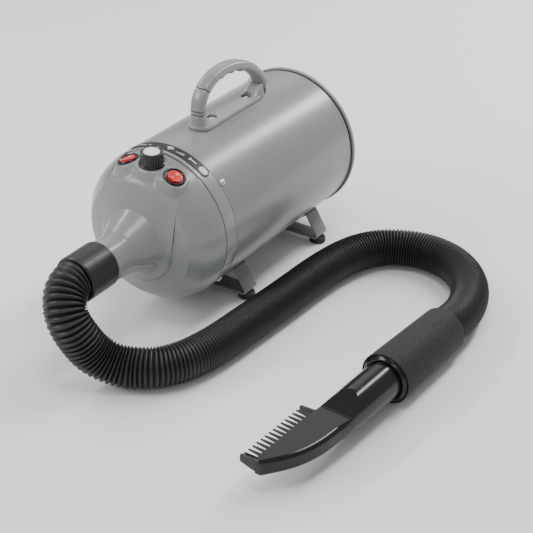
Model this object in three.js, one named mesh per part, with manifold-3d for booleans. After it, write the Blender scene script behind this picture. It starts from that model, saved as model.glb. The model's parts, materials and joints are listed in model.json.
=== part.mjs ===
// Pet dryer: a motor blower in a sheet-steel barrel on two strap feet, with a corrugated
// hose, a foam grip sleeve and a comb nozzle. Millimetres, +Z up, outlet towards -Y.
// The origin is on the floor, under the middle of the dryer.
import * as THREE from 'three';
import { mergeVertices } from 'three/addons/utils/BufferGeometryUtils.js';
import Module from 'manifold-3d';

const wasm = await Module();
wasm.setup();

// ---------------------------------------------------------------- driving dimensions
const GAP = 0.3; // clearance between touching pieces
const AXIS_Z = 95; // height of the barrel's axis
const HALF_LENGTH = 180; // spigot end at -180, rear rim at +180
const BARREL_R = 78;
const SHEET = 1.2;
const BARREL_FRONT = -41.7;
const BARREL_REAR = 174;
const RIM_R = 80;
const COVER_TWIST = THREE.MathUtils.degToRad(3.3); // the front cover sits clocked in the barrel
const CREASE_R = 59.5; // where the dome breaks into the shallow cone of its front face
const CREASE_Y = -95.8;
const FACE_R = 37.6; // inner end of that face, at the foot of the steep cone
const FACE_Y = -103.2;
const NOSE_HALF_WIDTH = 43.5; // U-shaped moulding that carries controls, cone and spigot
const SPIGOT_R = 21;
const SPIGOT_BORE_R = 18.6;
const KNOB_SEAT = { r: 72.8, y: -76.4, turn: 0, forward: 2 };
const SWITCH_SEAT = { r: 73.8, y: -77.5, turn: 22, forward: 5 };
const SEAT_WALL = 4.2; // panel thickness under the knob and the switches
const COVER_SCREW_Y = -37.5;
const COVER_SCREW_TURNS = [45, -45, 135, -135];
const FOOT_X = 60;
const BRACKET_YS = { front: 0, rear: 138 };
const STRAP_WIDTH = 20;
const HANDLE_SCREW_YS = { front: 28, rear: 89 };
const BASE_TOP = 176.3;
const CUFF_R = 23.2;
const CUFF_FRONT = -192;
const CUFF_BACK = -154.4;
const HOSE_R = 19.5;
const MOUTH = new THREE.Vector3(268.3, -82, 25.4); // front end of the grip sleeve
const WAND_TURN = THREE.MathUtils.degToRad(-3.5); // heading of sleeve and nozzle
const SLEEVE_LENGTH = 104;
const BLADE_TOP = 9.2; // heights from the nozzle's axis
const BLADE_BOTTOM = -5.6;
const COMB_PITCH = 5.7;

// The hose's centreline, from the dryer's cuff down to the floor, round the dryer's right
// side and back into the grip sleeve.
const HOSE_ROUTE = [
  [0, -192.4, 95],
  [0, -194.4, 95],
  [1.3, -203.4, 93.3],
  [4.5, -211.4, 88.2],
  [8.7, -216.9, 81.2],
  [13.2, -219.3, 72.7],
  [17.4, -218.5, 63.7],
  [21.1, -215.9, 54.9],
  [24.5, -212.7, 46.1],
  [28.8, -208.9, 37.8],
  [34.6, -204.7, 30.8],
  [41.9, -200.2, 25.6],
  [50.5, -195.4, 22],
  [59.5, -190.4, 20.3],
  [78.6, -177.5, 20],
  [92.5, -157.2, 20],
  [100, -133.4, 20],
  [104.2, -108.8, 20],
  [108.1, -59.1, 20],
  [111.5, -9.3, 20],
  [114.1, 40.5, 20],
  [116.4, 65.3, 20],
  [121.2, 91.5, 20],
  [129.9, 114.8, 20],
  [145, 134.5, 20],
  [166.5, 146.9, 20],
  [191, 151, 20],
  [215.5, 146.8, 20],
  [237.1, 134.5, 20],
  [254.1, 116.4, 20],
  [265.9, 94.5, 20.2],
  [272.6, 71, 21.2],
  [275.3, 50, 23.4],
  [275, 28.3, 25.2],
  [273.2, 0, 25.4],
  [271.4, -29, 25.4],
];

// ---------------------------------------------------------------- geometry helpers
function signedVolume(position, index) {
  const a = new THREE.Vector3();
  const b = new THREE.Vector3();
  const c = new THREE.Vector3();
  let sum = 0;
  for (let i = 0; i < index.length; i += 3) {
    a.fromBufferAttribute(position, index[i]);
    b.fromBufferAttribute(position, index[i + 1]);
    c.fromBufferAttribute(position, index[i + 2]);
    sum += a.dot(b.cross(c));
  }
  return sum / 6;
}

// A three.js geometry as a solid, with its faces turned outwards.
function solid(geometry) {
  const bare = geometry.clone();
  bare.deleteAttribute('normal');
  bare.deleteAttribute('uv');
  const merged = mergeVertices(bare, 1e-4);
  const position = merged.getAttribute('position');
  const index = [];
  const all = merged.index.array;
  for (let i = 0; i < all.length; i += 3) {
    const [p, q, r] = [all[i], all[i + 1], all[i + 2]];
    if (p !== q && q !== r && r !== p) index.push(p, q, r);
  }
  if (signedVolume(position, index) < 0) index.reverse();
  const vertProperties = new Float32Array(position.array);
  const triVerts = new Uint32Array(index);
  return new wasm.Manifold(new wasm.Mesh({ numProp: 3, vertProperties, triVerts }));
}

function geometryOf(body) {
  const mesh = body.getMesh();
  const geometry = new THREE.BufferGeometry();
  geometry.setAttribute('position', new THREE.BufferAttribute(mesh.vertProperties, 3));
  geometry.setIndex(new THREE.BufferAttribute(mesh.triVerts, 1));
  geometry.computeVertexNormals();
  return geometry;
}

const cut = (body, ...tools) => tools.reduce((rest, tool) => rest.subtract(tool), body);
const join = (body, ...others) => others.reduce((sum, other) => sum.add(other), body);

// A ring or disc turned about the Y axis from [radius, y] corners; the profile closes itself.
function turned(profile, segments = 40) {
  const corners = [...profile, profile[0]].map(([r, y]) => new THREE.Vector2(r, y));
  return solid(new THREE.LatheGeometry(corners, segments));
}

function ring(inner, outer, y0, y1, segments = 40) {
  const profile = [[inner, y0], [outer, y0], [outer, y1], [inner, y1]];
  return turned(profile, segments);
}

const disc = (radius, y0, y1, segments = 40) => ring(0, radius, y0, y1, segments);

// The same, turned about the Z axis from [radius, z] corners.
function turnedUp(profile, segments = 32) {
  const corners = [...profile, profile[0]].map(([r, z]) => new THREE.Vector2(r, z));
  return solid(new THREE.LatheGeometry(corners, segments).rotateX(Math.PI / 2));
}

function post(radius, z0, z1, segments = 32) {
  return turnedUp([[0, z0], [radius, z0], [radius, z1], [0, z1]], segments);
}

function block([x0, y0, z0], [x1, y1, z1]) {
  const box = new THREE.BoxGeometry(x1 - x0, y1 - y0, z1 - z0);
  return solid(box.translate((x0 + x1) / 2, (y0 + y1) / 2, (z0 + z1) / 2));
}

// An outline in X and Z, run along Y.
function prismAlongY(shape, y0, y1, curveSegments = 12) {
  const options = { depth: y1 - y0, bevelEnabled: false, curveSegments };
  return solid(new THREE.ExtrudeGeometry(shape, options).rotateX(Math.PI / 2).translate(0, y1, 0));
}

// An outline in X and Y, run along Z.
function prismAlongZ(shape, z0, z1, curveSegments = 12) {
  const options = { depth: z1 - z0, bevelEnabled: false, curveSegments };
  return solid(new THREE.ExtrudeGeometry(shape, options).translate(0, 0, z0));
}

// An ellipse swept along a curve in the plane x = 0: half width in x, half depth in the plane.
function sweptEllipse(curve, halfWidth, halfDepth, steps, sides = 16) {
  const shape = new THREE.Shape();
  for (let i = 0; i < sides; i += 1) {
    const angle = (2 * Math.PI * i) / sides;
    const x = halfWidth * Math.cos(angle);
    const y = halfDepth * Math.sin(angle);
    if (i === 0) shape.moveTo(x, y);
    else shape.lineTo(x, y);
  }
  return solid(new THREE.ExtrudeGeometry(shape, { steps, extrudePath: curve }));
}

function polygon(points) {
  const shape = new THREE.Shape();
  points.forEach(([x, y], i) => (i === 0 ? shape.moveTo(x, y) : shape.lineTo(x, y)));
  return shape;
}

// ---------------------------------------------------------------- materials and placing
function finish(color, roughness, metalness = 0) {
  return new THREE.MeshStandardMaterial({ color, roughness, metalness });
}

const paintedGrey = () => finish(0x979b98, 0.35, 0.1);
const greyPlastic = () => finish(0x959a97, 0.4);
const blackPlastic = () => finish(0x17181a, 0.35);
const darkSteel = () => finish(0x4a4c4d, 0.5, 0.4);
const rubber = () => finish(0x121212, 0.8);
const steel = () => finish(0xb8bbbd, 0.3, 1);
const copper = () => finish(0xb06a3c, 0.4, 1);

function piece(name, body, material, parent) {
  const mesh = new THREE.Mesh(geometryOf(body), material);
  mesh.name = name;
  parent.add(mesh);
  return mesh;
}

// The frame of a control's seat on the front cover: its Z is the seat's own normal.
function seatMatrix({ r, y, turn, forward }, side = 1) {
  const angle = THREE.MathUtils.degToRad(turn * side);
  const place = new THREE.Matrix4().makeTranslation(r * Math.sin(angle), y, r * Math.cos(angle));
  const roll = new THREE.Matrix4().makeRotationY(angle);
  const pitch = new THREE.Matrix4().makeRotationX(THREE.MathUtils.degToRad(forward));
  return place.multiply(roll).multiply(pitch);
}

function placedGroup(matrix, parent) {
  const group = new THREE.Group();
  group.applyMatrix4(matrix);
  parent.add(group);
  return group;
}

const moved = (body, matrix) => solid(geometryOf(body).applyMatrix4(matrix));

// A screw along -Z under a pan head that stands on z = 0.
function panScrew(headR, headHeight, shankR, shankEnd) {
  return turnedUp([
    [0, headHeight],
    [headR * 0.7, headHeight],
    [headR, 0],
    [shankR, 0],
    [shankR, shankEnd],
    [0, shankEnd],
  ], 12);
}

// The frame of a fastener that stands radially in the barrel.
function radialMatrix(turnDegrees, r, y) {
  return seatMatrix({ r, y, turn: turnDegrees, forward: 0 });
}

// ---------------------------------------------------------------- barrel and covers
function barrel() {
  const shell = ring(BARREL_R - SHEET, BARREL_R, BARREL_FRONT, BARREL_REAR);
  const drill = (turn, y) => moved(post(2.1, -6, 6, 10), radialMatrix(turn, BARREL_R, y));
  const twist = THREE.MathUtils.radToDeg(COVER_TWIST);
  const holes = [
    ...COVER_SCREW_TURNS.map((turn) => drill(turn + twist, COVER_SCREW_Y)),
    ...Object.values(HANDLE_SCREW_YS).map((y) => drill(0, y)),
    ...Object.values(BRACKET_YS).map((y) => drill(180, y)),
  ];
  return cut(shell, ...holes);
}

// The U-shaped outline of the nose moulding, in X and Z about the barrel's axis.
function noseOutline(halfWidth) {
  const shape = new THREE.Shape();
  shape.moveTo(halfWidth, RIM_R);
  shape.lineTo(-halfWidth, RIM_R);
  shape.lineTo(-halfWidth, 0);
  shape.absarc(0, 0, halfWidth, Math.PI, 2 * Math.PI, false);
  shape.closePath();
  return shape;
}

function frontCover() {
  const shell = turned([
    [74, -28],
    [76.4, -28],
    [76.4, -42],
    [78, -42],
    [78, -57.4],
    [76.7, -58],
    [76.7, -59.4],
    [78.4, -60.8],
    [77, -66],
    [75.4, -73],
    [72.4, -80.2],
    [67.6, -87],
    [CREASE_R, CREASE_Y],
    [FACE_R, FACE_Y],
    [35, FACE_Y],
    [35, FACE_Y + 2.5],
    [FACE_R, FACE_Y + 2.5],
    [CREASE_R - 1.5, CREASE_Y + 2.2],
    [69.8, -78.6],
    [73.4, -68],
    [74, -56.5],
  ], 36);
  const opening = prismAlongY(noseOutline(NOSE_HALF_WIDTH + GAP), -110, -58.6, 10);
  const screwHoles = COVER_SCREW_TURNS.map((turn) => {
    return moved(post(2.1, -6, 6, 10), radialMatrix(turn, BARREL_R, COVER_SCREW_Y));
  });
  // a shallow latch pocket on each flank of the collar band
  const pockets = [103, -103].map((turn) => {
    return moved(block([-8, -6.5, -1.2], [8, 6.5, 4]), radialMatrix(turn, BARREL_R, -48.5));
  });
  return cut(shell, opening, ...screwHoles, ...pockets);
}

// Control panel, flat bib, cone and spigot are one moulding.
function controlNose() {
  const outside = turned([
    [0, -58.9],
    [76.2, -58.9],
    [72.4, -78],
    [67.2, -87],
    [CREASE_R, CREASE_Y],
    [FACE_R, FACE_Y],
    [32.4, -108],
    [SPIGOT_R, -131],
    [SPIGOT_R, -HALF_LENGTH],
    [0, -HALF_LENGTH],
  ], 36);
  const inside = turned([
    [0, -50],
    [73.2, -50],
    [69.6, -77.2],
    [64.9, -85.3],
    [CREASE_R - 1.5, CREASE_Y + 2.2],
    [36, FACE_Y + 2.5],
    [29.6, -108],
    [SPIGOT_BORE_R, -131],
    [SPIGOT_BORE_R, -190],
    [0, -190],
  ], 36);
  const outline = prismAlongY(noseOutline(NOSE_HALF_WIDTH), -190, -58.9, 10);
  const seats = [
    { matrix: seatMatrix(KNOB_SEAT), r: 14.8, hole: 4.5 },
    { matrix: seatMatrix(SWITCH_SEAT, 1), r: 13.3, hole: 10.1 },
    { matrix: seatMatrix(SWITCH_SEAT, -1), r: 13.3, hole: 10.1 },
  ];
  const bosses = seats.map(({ matrix, r }) => moved(post(r, -12, 0, 20), matrix));
  const recesses = seats.map(({ matrix, r }) => moved(post(r, 0, 20, 20), matrix));
  const pockets = seats.map(({ matrix, r }) => moved(post(r - 2.6, -20, -SEAT_WALL, 20), matrix));
  const holes = seats.map(({ matrix, hole }) => moved(post(hole, -20, 20, 20), matrix));
  const behind = block([-60, -58.9, 0], [60, -30, 100]);
  const shell = cut(outside.intersect(outline), inside);
  return cut(join(shell, ...bosses), ...recesses, ...pockets, ...holes, behind);
}

function labelStrip() {
  const halfAngle = THREE.MathUtils.degToRad(35.7);
  const shape = new THREE.Shape();
  shape.absarc(0, 0, BARREL_R + 0.8, Math.PI / 2 - halfAngle, Math.PI / 2 + halfAngle, false);
  shape.absarc(0, 0, BARREL_R + GAP, Math.PI / 2 + halfAngle, Math.PI / 2 - halfAngle, true);
  shape.closePath();
  return prismAlongY(shape, -54, -43, 14);
}

function rearGasket() {
  return ring(76.7, 78.3, BARREL_REAR + GAP, 176, 36);
}

const GRILLE_SEAT_R = 58.3;
const GROMMET_R = 67.3; // distance of the cord grommet from the barrel's axis

function rearRing() {
  const body = turned([
    [73.9, 158],
    [76.4, 158],
    [76.4, 176.3],
    [RIM_R, 176.3],
    [RIM_R, HALF_LENGTH],
    [76.9, HALF_LENGTH],
    [76.2, 177.8],
    [GRILLE_SEAT_R, 177.8],
    [GRILLE_SEAT_R, 166.3],
    [50, 166.3],
    [50, 163.8],
    [GRILLE_SEAT_R + 2.5, 163.8],
    [GRILLE_SEAT_R + 2.5, 175.3],
    [73.9, 175.3],
  ], 36);
  return cut(body, disc(5.2, 170, 182, 20).translate([0, 0, -GROMMET_R]));
}

function intakeGrille() {
  let cover = turned([
    [0, 176.9],
    [56, 176.9],
    [56, 169.4],
    [58, 169.4],
    [58, 178],
    [55.6, 179.7],
    [0, 179.7],
  ], 32);
  const slotPitch = 8.6;
  for (let row = -5; row <= 5; row += 1) {
    const z = row * slotPitch;
    const halfWidth = Math.sqrt(50 ** 2 - z ** 2) - 2;
    cover = cover.subtract(block([-halfWidth, 170, z - 1.9], [halfWidth, 185, z + 1.9]));
  }
  return cover;
}

const filterFoam = () => disc(55.4, 168.8, 176.5, 24);

function cordGrommet() {
  return turned([
    [3.3, 173.4],
    [5.9, 173.4],
    [5.9, 175],
    [4.9, 175],
    [4.9, 178.1],
    [5.9, 178.1],
    [5.9, 179.7],
    [3.3, 179.7],
  ], 16);
}

function addShell(axis, cover) {
  piece('barrel', barrel(), paintedGrey(), axis);
  piece('front_cover', frontCover(), greyPlastic(), cover);
  piece('control_nose', controlNose(), greyPlastic(), cover);
  piece('label_strip', labelStrip(), finish(0x2f3132, 0.5), cover);
  piece('rear_gasket', rearGasket(), rubber(), axis);
  piece('rear_ring', rearRing(), greyPlastic(), axis);
  piece('intake_grille', intakeGrille(), blackPlastic(), axis);
  piece('filter_foam', filterFoam(), finish(0x3a3c3e, 0.95), axis);
  piece('cord_grommet', cordGrommet(), rubber(), axis).position.z = -GROMMET_R;
  COVER_SCREW_TURNS.forEach((turn, i) => {
    const seat = placedGroup(radialMatrix(turn, BARREL_R + GAP, COVER_SCREW_Y), cover);
    piece(`cover_screw_${i + 1}`, panScrew(3.3, 1.9, 1.8, -5.6), steel(), seat);
  });
}

// ---------------------------------------------------------------- knob and switches
function knob() {
  const body = turnedUp([
    [0, 0.3],
    [12.9, 0.3],
    [12.9, 2.4],
    [11.6, 3.6],
    [11.2, 13.4],
    [10.4, 14.1],
    [0, 14.1],
  ], 24);
  return cut(body, post(3.3, 0, 9.6, 16), post(8.1, 13.2, 15, 20));
}

const knobCap = () => turnedUp([[0, 13.5], [7.8, 13.5], [7.8, 14.1], [7.2, 14.4], [0, 14.4]], 20);

function speedPot() {
  const top = -SEAT_WALL - GAP;
  return turnedUp([
    [0, top - 9],
    [8.2, top - 9],
    [8.2, top],
    [4.2, top],
    [4.2, -0.4],
    [3.2, -0.4],
    [3.2, top - 5],
    [0, top - 5],
  ], 16);
}

const potShaft = () => post(3, -9.2, 9.3, 16);

const ROCKER_BORE_R = 8.7;
const ROCKER_TILT = THREE.MathUtils.degToRad(8);

function switchBody() {
  return turnedUp([
    [0, -13.5],
    [9.8, -13.5],
    [9.8, GAP],
    [11.1, GAP],
    [11.1, 1.4],
    [10.3, 2.3],
    [9.3, 2.3],
    [ROCKER_BORE_R, 1.5],
    [ROCKER_BORE_R, -5],
    [0, -5],
  ], 20);
}

// A round rocker whose two halves slope down to the middle. At rest its rear half is pressed.
function rocker() {
  const halfDepth = 7.7;
  const side = polygon([
    [-halfDepth, -3.2],
    [halfDepth, -3.2],
    [halfDepth, 3.1],
    [0, 2],
    [-halfDepth, 3.1],
  ]);
  const options = { depth: 20, bevelEnabled: false };
  const wedge = new THREE.ExtrudeGeometry(side, options).translate(0, 0, -10);
  // the outline's own X becomes Y, and its Y becomes Z
  wedge.rotateX(Math.PI / 2).rotateZ(Math.PI / 2);
  const pressed = new THREE.Matrix4().makeRotationX(-ROCKER_TILT);
  return moved(solid(wedge).intersect(post(halfDepth, -8, 8, 20)), pressed);
}

function addControls(cover) {
  const knobSeat = placedGroup(seatMatrix(KNOB_SEAT), cover);
  piece('knob', knob(), blackPlastic(), knobSeat);
  piece('knob_cap', knobCap(), steel(), knobSeat);
  piece('speed_pot', speedPot(), darkSteel(), knobSeat);
  piece('pot_shaft', potShaft(), steel(), knobSeat);
  [['left', -1], ['right', 1]].forEach(([name, side]) => {
    const seat = placedGroup(seatMatrix(SWITCH_SEAT, side), cover);
    piece(`${name}_switch`, switchBody(), blackPlastic(), seat);
    piece(`${name}_rocker`, rocker(), finish(0xd8261c, 0.3), seat);
  });
}

// ---------------------------------------------------------------- handle
const ARCH = new THREE.CatmullRomCurve3([
  new THREE.Vector3(0, 5.3, 187.4),
  new THREE.Vector3(0, 5.6, 196),
  new THREE.Vector3(0, 11, 207.4),
  new THREE.Vector3(0, 23.6, 216.3),
  new THREE.Vector3(0, 41.2, 220.6),
  new THREE.Vector3(0, 61.1, 219.5),
  new THREE.Vector3(0, 81.4, 213.3),
  new THREE.Vector3(0, 98.7, 202.9),
  new THREE.Vector3(0, 110.3, 190),
  new THREE.Vector3(0, 114.8, 179),
  new THREE.Vector3(0, 115, 173.8),
]);
const ARCH_HALF_WIDTH = 7.9;
const ARCH_HALF_DEPTH = 5.4;

function handleBase() {
  const halfWidth = 13.2;
  const front = -4.2;
  const rear = 108.6;
  const plan = new THREE.Shape();
  plan.absarc(0, front + halfWidth, halfWidth, Math.PI, 2 * Math.PI, false);
  plan.absarc(0, rear - halfWidth, halfWidth, 0, Math.PI, false);
  plan.closePath();
  const plate = prismAlongZ(plan, 168, BASE_TOP, 10);
  const footPlan = new THREE.Shape();
  footPlan.absellipse(0, 5.3, ARCH_HALF_WIDTH, ARCH_HALF_DEPTH + 0.4, 0, 2 * Math.PI, false, 0);
  const foot = prismAlongZ(footPlan, BASE_TOP - 4, 187.1, 10);
  const rearBoss = block([-6.5, 98.5, BASE_TOP - 4], [6.5, 106.5, 181]);
  const seat = disc(BARREL_R + GAP, -30, 130, 64).translate([0, 0, AXIS_Z]);
  const bores = Object.values(HANDLE_SCREW_YS).flatMap((y) => {
    const counterbore = post(4.7, 173.9, 190, 16);
    return [counterbore, post(2.3, 160, 190, 12)].map((tool) => tool.translate([0, y, 0]));
  });
  return cut(join(plate, foot, rearBoss), seat, ...bores);
}

const archBody = () => sweptEllipse(ARCH, ARCH_HALF_WIDTH, ARCH_HALF_DEPTH, 24, 12);

// The spaces below the two seams where the grip meets the loop's legs.
function belowSeams(lift) {
  const front = block([-20, -20, -50], [20, 20, lift]).translate([0, 10, 210]);
  const rear = block([-20, -14, -50], [20, 20, lift]).rotate([-25, 0, 0]).translate([0, 110.5, 184.5]);
  return join(front, rear);
}

function handleLoop() {
  const core = sweptEllipse(ARCH, 5.2, 3, 18, 8);
  return join(core, archBody().intersect(belowSeams(0)));
}

function handleGrip() {
  return cut(archBody(), belowSeams(GAP), sweptEllipse(ARCH, 5.7, 3.5, 18, 8));
}

function addHandle(dryer) {
  piece('handle_base', handleBase(), greyPlastic(), dryer);
  piece('handle_loop', handleLoop(), greyPlastic(), dryer);
  piece('handle_grip', handleGrip(), greyPlastic(), dryer);
  Object.entries(HANDLE_SCREW_YS).forEach(([name, y]) => {
    const screw = piece(`handle_screw_${name}`, panScrew(4.2, 2, 1.9, -3.2), steel(), dryer);
    screw.position.set(0, y, 174.2);
  });
}

// ---------------------------------------------------------------- feet
// One closed strap: a saddle round the barrel's belly, two splayed legs and a bottom bar.
function footBracket() {
  const saddleR = BARREL_R + GAP;
  const thickness = 2;
  const hip = Math.atan2(-59.6, 51); // where a leg leaves the barrel
  const hipInside = Math.atan2(-63.4, 49.6);
  const outer = new THREE.Shape();
  outer.moveTo(-66.4, -89);
  outer.lineTo(66.4, -89);
  outer.lineTo(68, -87.4);
  outer.lineTo(saddleR * Math.cos(hip), saddleR * Math.sin(hip));
  outer.absarc(0, 0, saddleR, hip, Math.PI - hip - 2 * Math.PI, true);
  outer.lineTo(-68, -87.4);
  outer.closePath();
  const gap = new THREE.Path();
  const gapR = saddleR + thickness;
  gap.moveTo(-64.2, -86.6);
  gap.lineTo(64.2, -86.6);
  gap.lineTo(gapR * Math.cos(hipInside), gapR * Math.sin(hipInside));
  gap.absarc(0, 0, gapR, hipInside, Math.PI - hipInside - 2 * Math.PI, true);
  gap.closePath();
  outer.holes.push(gap);
  const strap = prismAlongY(outer, -STRAP_WIDTH / 2, STRAP_WIDTH / 2, 10);
  const stemHoles = [-FOOT_X, FOOT_X].map((x) => post(2.4, -95, -80, 10).translate([x, 0, 0]));
  return cut(strap, ...stemHoles, post(2.1, -84, -70, 10));
}

function rubberFoot() {
  return turnedUp([
    [0, 0],
    [9, 0],
    [8.6, 5.7],
    [2.1, 5.7],
    [2.1, 9.4],
    [0, 9.4],
  ], 16);
}

function addFeet(axis, dryer) {
  Object.entries(BRACKET_YS).forEach(([name, y]) => {
    piece(`${name}_foot_bracket`, footBracket(), darkSteel(), axis).position.y = y;
    const rivet = piece(`${name}_bracket_rivet`, panScrew(3.4, 0.8, 1.8, -4.4), steel(), axis);
    rivet.position.set(0, y, -(BARREL_R + 2 + 2 * GAP));
    rivet.rotation.y = Math.PI;
    [['left', -FOOT_X], ['right', FOOT_X]].forEach(([side, x]) => {
      const foot = piece(`rubber_foot_${name}_${side}`, rubberFoot(), rubber(), dryer);
      foot.position.set(x, y, 0);
    });
  });
}

// ---------------------------------------------------------------- heater and speed control
function heaterFrame() {
  const long = block([-28.4, -94, -0.5], [28.4, -25, 0.5]);
  const tall = block([-0.5, -94, -28.4], [0.5, -25, 28.4]);
  return join(long, tall, ring(0, 12, -28, -25, 16));
}

function heaterCoil() {
  class Helix extends THREE.Curve {
    getPoint(t, target = new THREE.Vector3()) {
      const angle = 2 * Math.PI * 5 * t;
      return target.set(31.8 * Math.cos(angle), -90 + 58 * t, 31.8 * Math.sin(angle));
    }
  }
  const wire = new THREE.Shape();
  const corners = [[1.2, 0], [0, 1.2], [-1.2, 0], [0, -1.2]];
  wire.setFromPoints(corners.map(([x, y]) => new THREE.Vector2(x, y)));
  return solid(new THREE.ExtrudeGeometry(wire, { steps: 50, extrudePath: new Helix() }));
}

const heaterPlate = () => ring(34.5, 76, -24.4, -21.4, 28);

function controlBoard() {
  const board = block([-28, -54, 40], [28, -27, 41.6]);
  const parts = [
    block([-24, -50, 41], [-14, -40, 49]),
    block([14, -48, 41], [22, -34, 50]),
  ];
  return join(board, ...parts);
}

function heatsink() {
  let sink = block([-11, -51, 42], [11, -31, 53]);
  for (let fin = -2; fin <= 2; fin += 1) {
    sink = sink.subtract(block([fin * 4 - 1.2, -60, 45], [fin * 4 + 1.2, -20, 60]));
  }
  return sink;
}

function addHeater(axis) {
  piece('heater_plate', heaterPlate(), finish(0xc9c2a8, 0.8), axis);
  piece('heater_frame', heaterFrame(), finish(0xb7a778, 0.7), axis);
  piece('heater_coil', heaterCoil(), steel(), axis);
  piece('thermal_cutoff', block([4, -40, 2], [16, -32, 7]), finish(0xe8e6de, 0.5), axis);
  piece('control_board', controlBoard(), finish(0x2f6b3a, 0.6), axis);
  piece('heatsink', heatsink(), steel(), axis);
}

// ---------------------------------------------------------------- motor and fan
const SHAFT_R = 4;
const BEARING_R = 11;
const ARMATURE = { r: 26.8, y0: 45, y1: 73, slots: 12 };

function motorFrame() {
  const shell = turned([
    [7, 30],
    [46, 30],
    [46, 98.7],
    [7, 98.7],
    [7, 96],
    [BEARING_R + GAP, 96],
    [BEARING_R + GAP, 91],
    [14, 91],
    [14, 96],
    [43.8, 96],
    [43.8, 33],
    [14, 33],
    [14, 37.4],
    [BEARING_R + GAP, 37.4],
    [BEARING_R + GAP, 32.4],
    [7, 32.4],
  ], 20);
  const windows = [0, 1, 2, 3].map((i) => {
    return block([-16, 74, 30], [16, 94, 60]).rotate([0, 45 + 90 * i, 0]);
  });
  const vents = [0, 1, 2, 3].map((i) => {
    return block([-8, 20, 19], [8, 34, 38]).rotate([0, 90 * i, 0]);
  });
  return cut(shell, ...windows, ...vents);
}

function armature() {
  const { r, y0, y1, slots } = ARMATURE;
  const outline = [];
  const pitch = (2 * Math.PI) / slots;
  for (let i = 0; i < slots; i += 1) {
    const corners = [[r, -0.38], [r, 0.38], [r - 9, 0.3], [r - 9, 0.7]];
    corners.forEach(([radius, part]) => {
      const angle = (i + part) * pitch;
      outline.push([radius * Math.cos(angle), radius * Math.sin(angle)]);
    });
  }
  return cut(prismAlongY(polygon(outline), y0, y1), disc(SHAFT_R + GAP, y0 - 1, y1 + 1, 20));
}

function impeller() {
  const hub = ring(SHAFT_R + GAP, 10, 112, 131, 16);
  const backPlate = ring(8, 54, 112, 113.4, 28);
  const shroud = ring(20, 54, 129.6, 131, 28);
  const blades = [];
  for (let i = 0; i < 7; i += 1) {
    blades.push(block([18, 113, -0.6], [52, 130, 0.6]).rotate([0, (360 * i) / 7, 0]));
  }
  return join(backPlate, hub, ...blades, shroud);
}

function fanHousing() {
  return turned([
    [19, 135],
    [60, 135],
    [60, 99],
    [30, 99],
    [30, 100],
    [59, 100],
    [59, 134],
    [19, 134],
  ], 28);
}

function carbonBrush(side) {
  const inner = 12.4;
  return block([side > 0 ? inner : -28, 80, -3], [side > 0 ? 28 : -inner, 88, 3]);
}

function addMotor(axis) {
  piece('acoustic_liner', ring(69, 75.5, -15, 150, 28), finish(0x4a4c50, 0.95), axis);
  piece('front_cushion', ring(46.3, 68.3, 40, 50, 28), rubber(), axis);
  piece('rear_cushion', ring(24, 56, 135.3, 143, 28), rubber(), axis);
  piece('rear_baffle', ring(24, 68.3, 143.3, 145.3, 28), darkSteel(), axis);
  piece('fan_housing', fanHousing(), steel(), axis);
  piece('impeller', impeller(), finish(0xc4c8cb, 0.35, 0.9), axis);
  piece('motor_frame', motorFrame(), finish(0x8d9092, 0.5, 0.7), axis);
  piece('stator', ring(27.6, 43, 46, 72, 28), copper(), axis);
  piece('armature', armature(), copper(), axis);
  piece('commutator', ring(SHAFT_R + GAP, 12, 78, 90, 16), copper(), axis);
  piece('motor_shaft', disc(SHAFT_R, 26, 133, 16), steel(), axis);
  piece('front_bearing', ring(SHAFT_R + GAP, BEARING_R, 32.7, 37.2, 16), steel(), axis);
  piece('rear_bearing', ring(SHAFT_R + GAP, BEARING_R, 91.2, 95.7, 16), steel(), axis);
  piece('left_brush', carbonBrush(-1), finish(0x2a2a2c, 0.6), axis);
  piece('right_brush', carbonBrush(1), finish(0x2a2a2c, 0.6), axis);
}

// ---------------------------------------------------------------- hose, sleeve and nozzle
function hoseTube() {
  const path = new THREE.CatmullRomCurve3(HOSE_ROUTE.map((point) => new THREE.Vector3(...point)));
  const section = new THREE.Shape();
  const sides = 10;
  const corners = [];
  for (let i = 0; i < sides; i += 1) {
    const angle = (2 * Math.PI * i) / sides;
    corners.push([HOSE_R * Math.cos(angle), HOSE_R * Math.sin(angle)]);
  }
  section.setFromPoints(corners.map(([x, y]) => new THREE.Vector2(x, y)));
  return solid(new THREE.ExtrudeGeometry(section, { steps: 48, extrudePath: path }));
}

function hoseCuff() {
  return turned([
    [SPIGOT_R + GAP, CUFF_BACK],
    [CUFF_R, CUFF_BACK],
    [CUFF_R, CUFF_FRONT + 1],
    [CUFF_R - 0.8, CUFF_FRONT],
    [HOSE_R - 2, CUFF_FRONT],
    [HOSE_R - 2, -HALF_LENGTH - 1],
    [SPIGOT_R + GAP, -HALF_LENGTH - 1],
  ], 28);
}

// The grip sleeve, from its mouth at y = 0 back to the hose.
function gripSleeve() {
  return turned([
    [22.6, 0],
    [24.8, 0],
    [25.4, 1.4],
    [23.2, SLEEVE_LENGTH],
    [20.3, SLEEVE_LENGTH],
    [20.3, 54],
    [22.6, 52],
  ], 32);
}

const hoseEndCuff = () => ring(19.4, 22, 2, 51, 28);

// The plan of the comb nozzle's blade, in X and -Y from the sleeve's mouth.
function bladePlan(inset) {
  const plan = new THREE.Shape();
  plan.moveTo(-17.2 + inset, -76);
  plan.lineTo(-17.2 + inset, -171 + inset);
  plan.lineTo(-12.5, -171 + inset);
  plan.bezierCurveTo(-2, -170 + inset, 15.2 - inset, -136, 15.2 - inset, -98);
  plan.lineTo(15.2 - inset, -76);
  plan.closePath();
  return plan;
}

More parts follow.
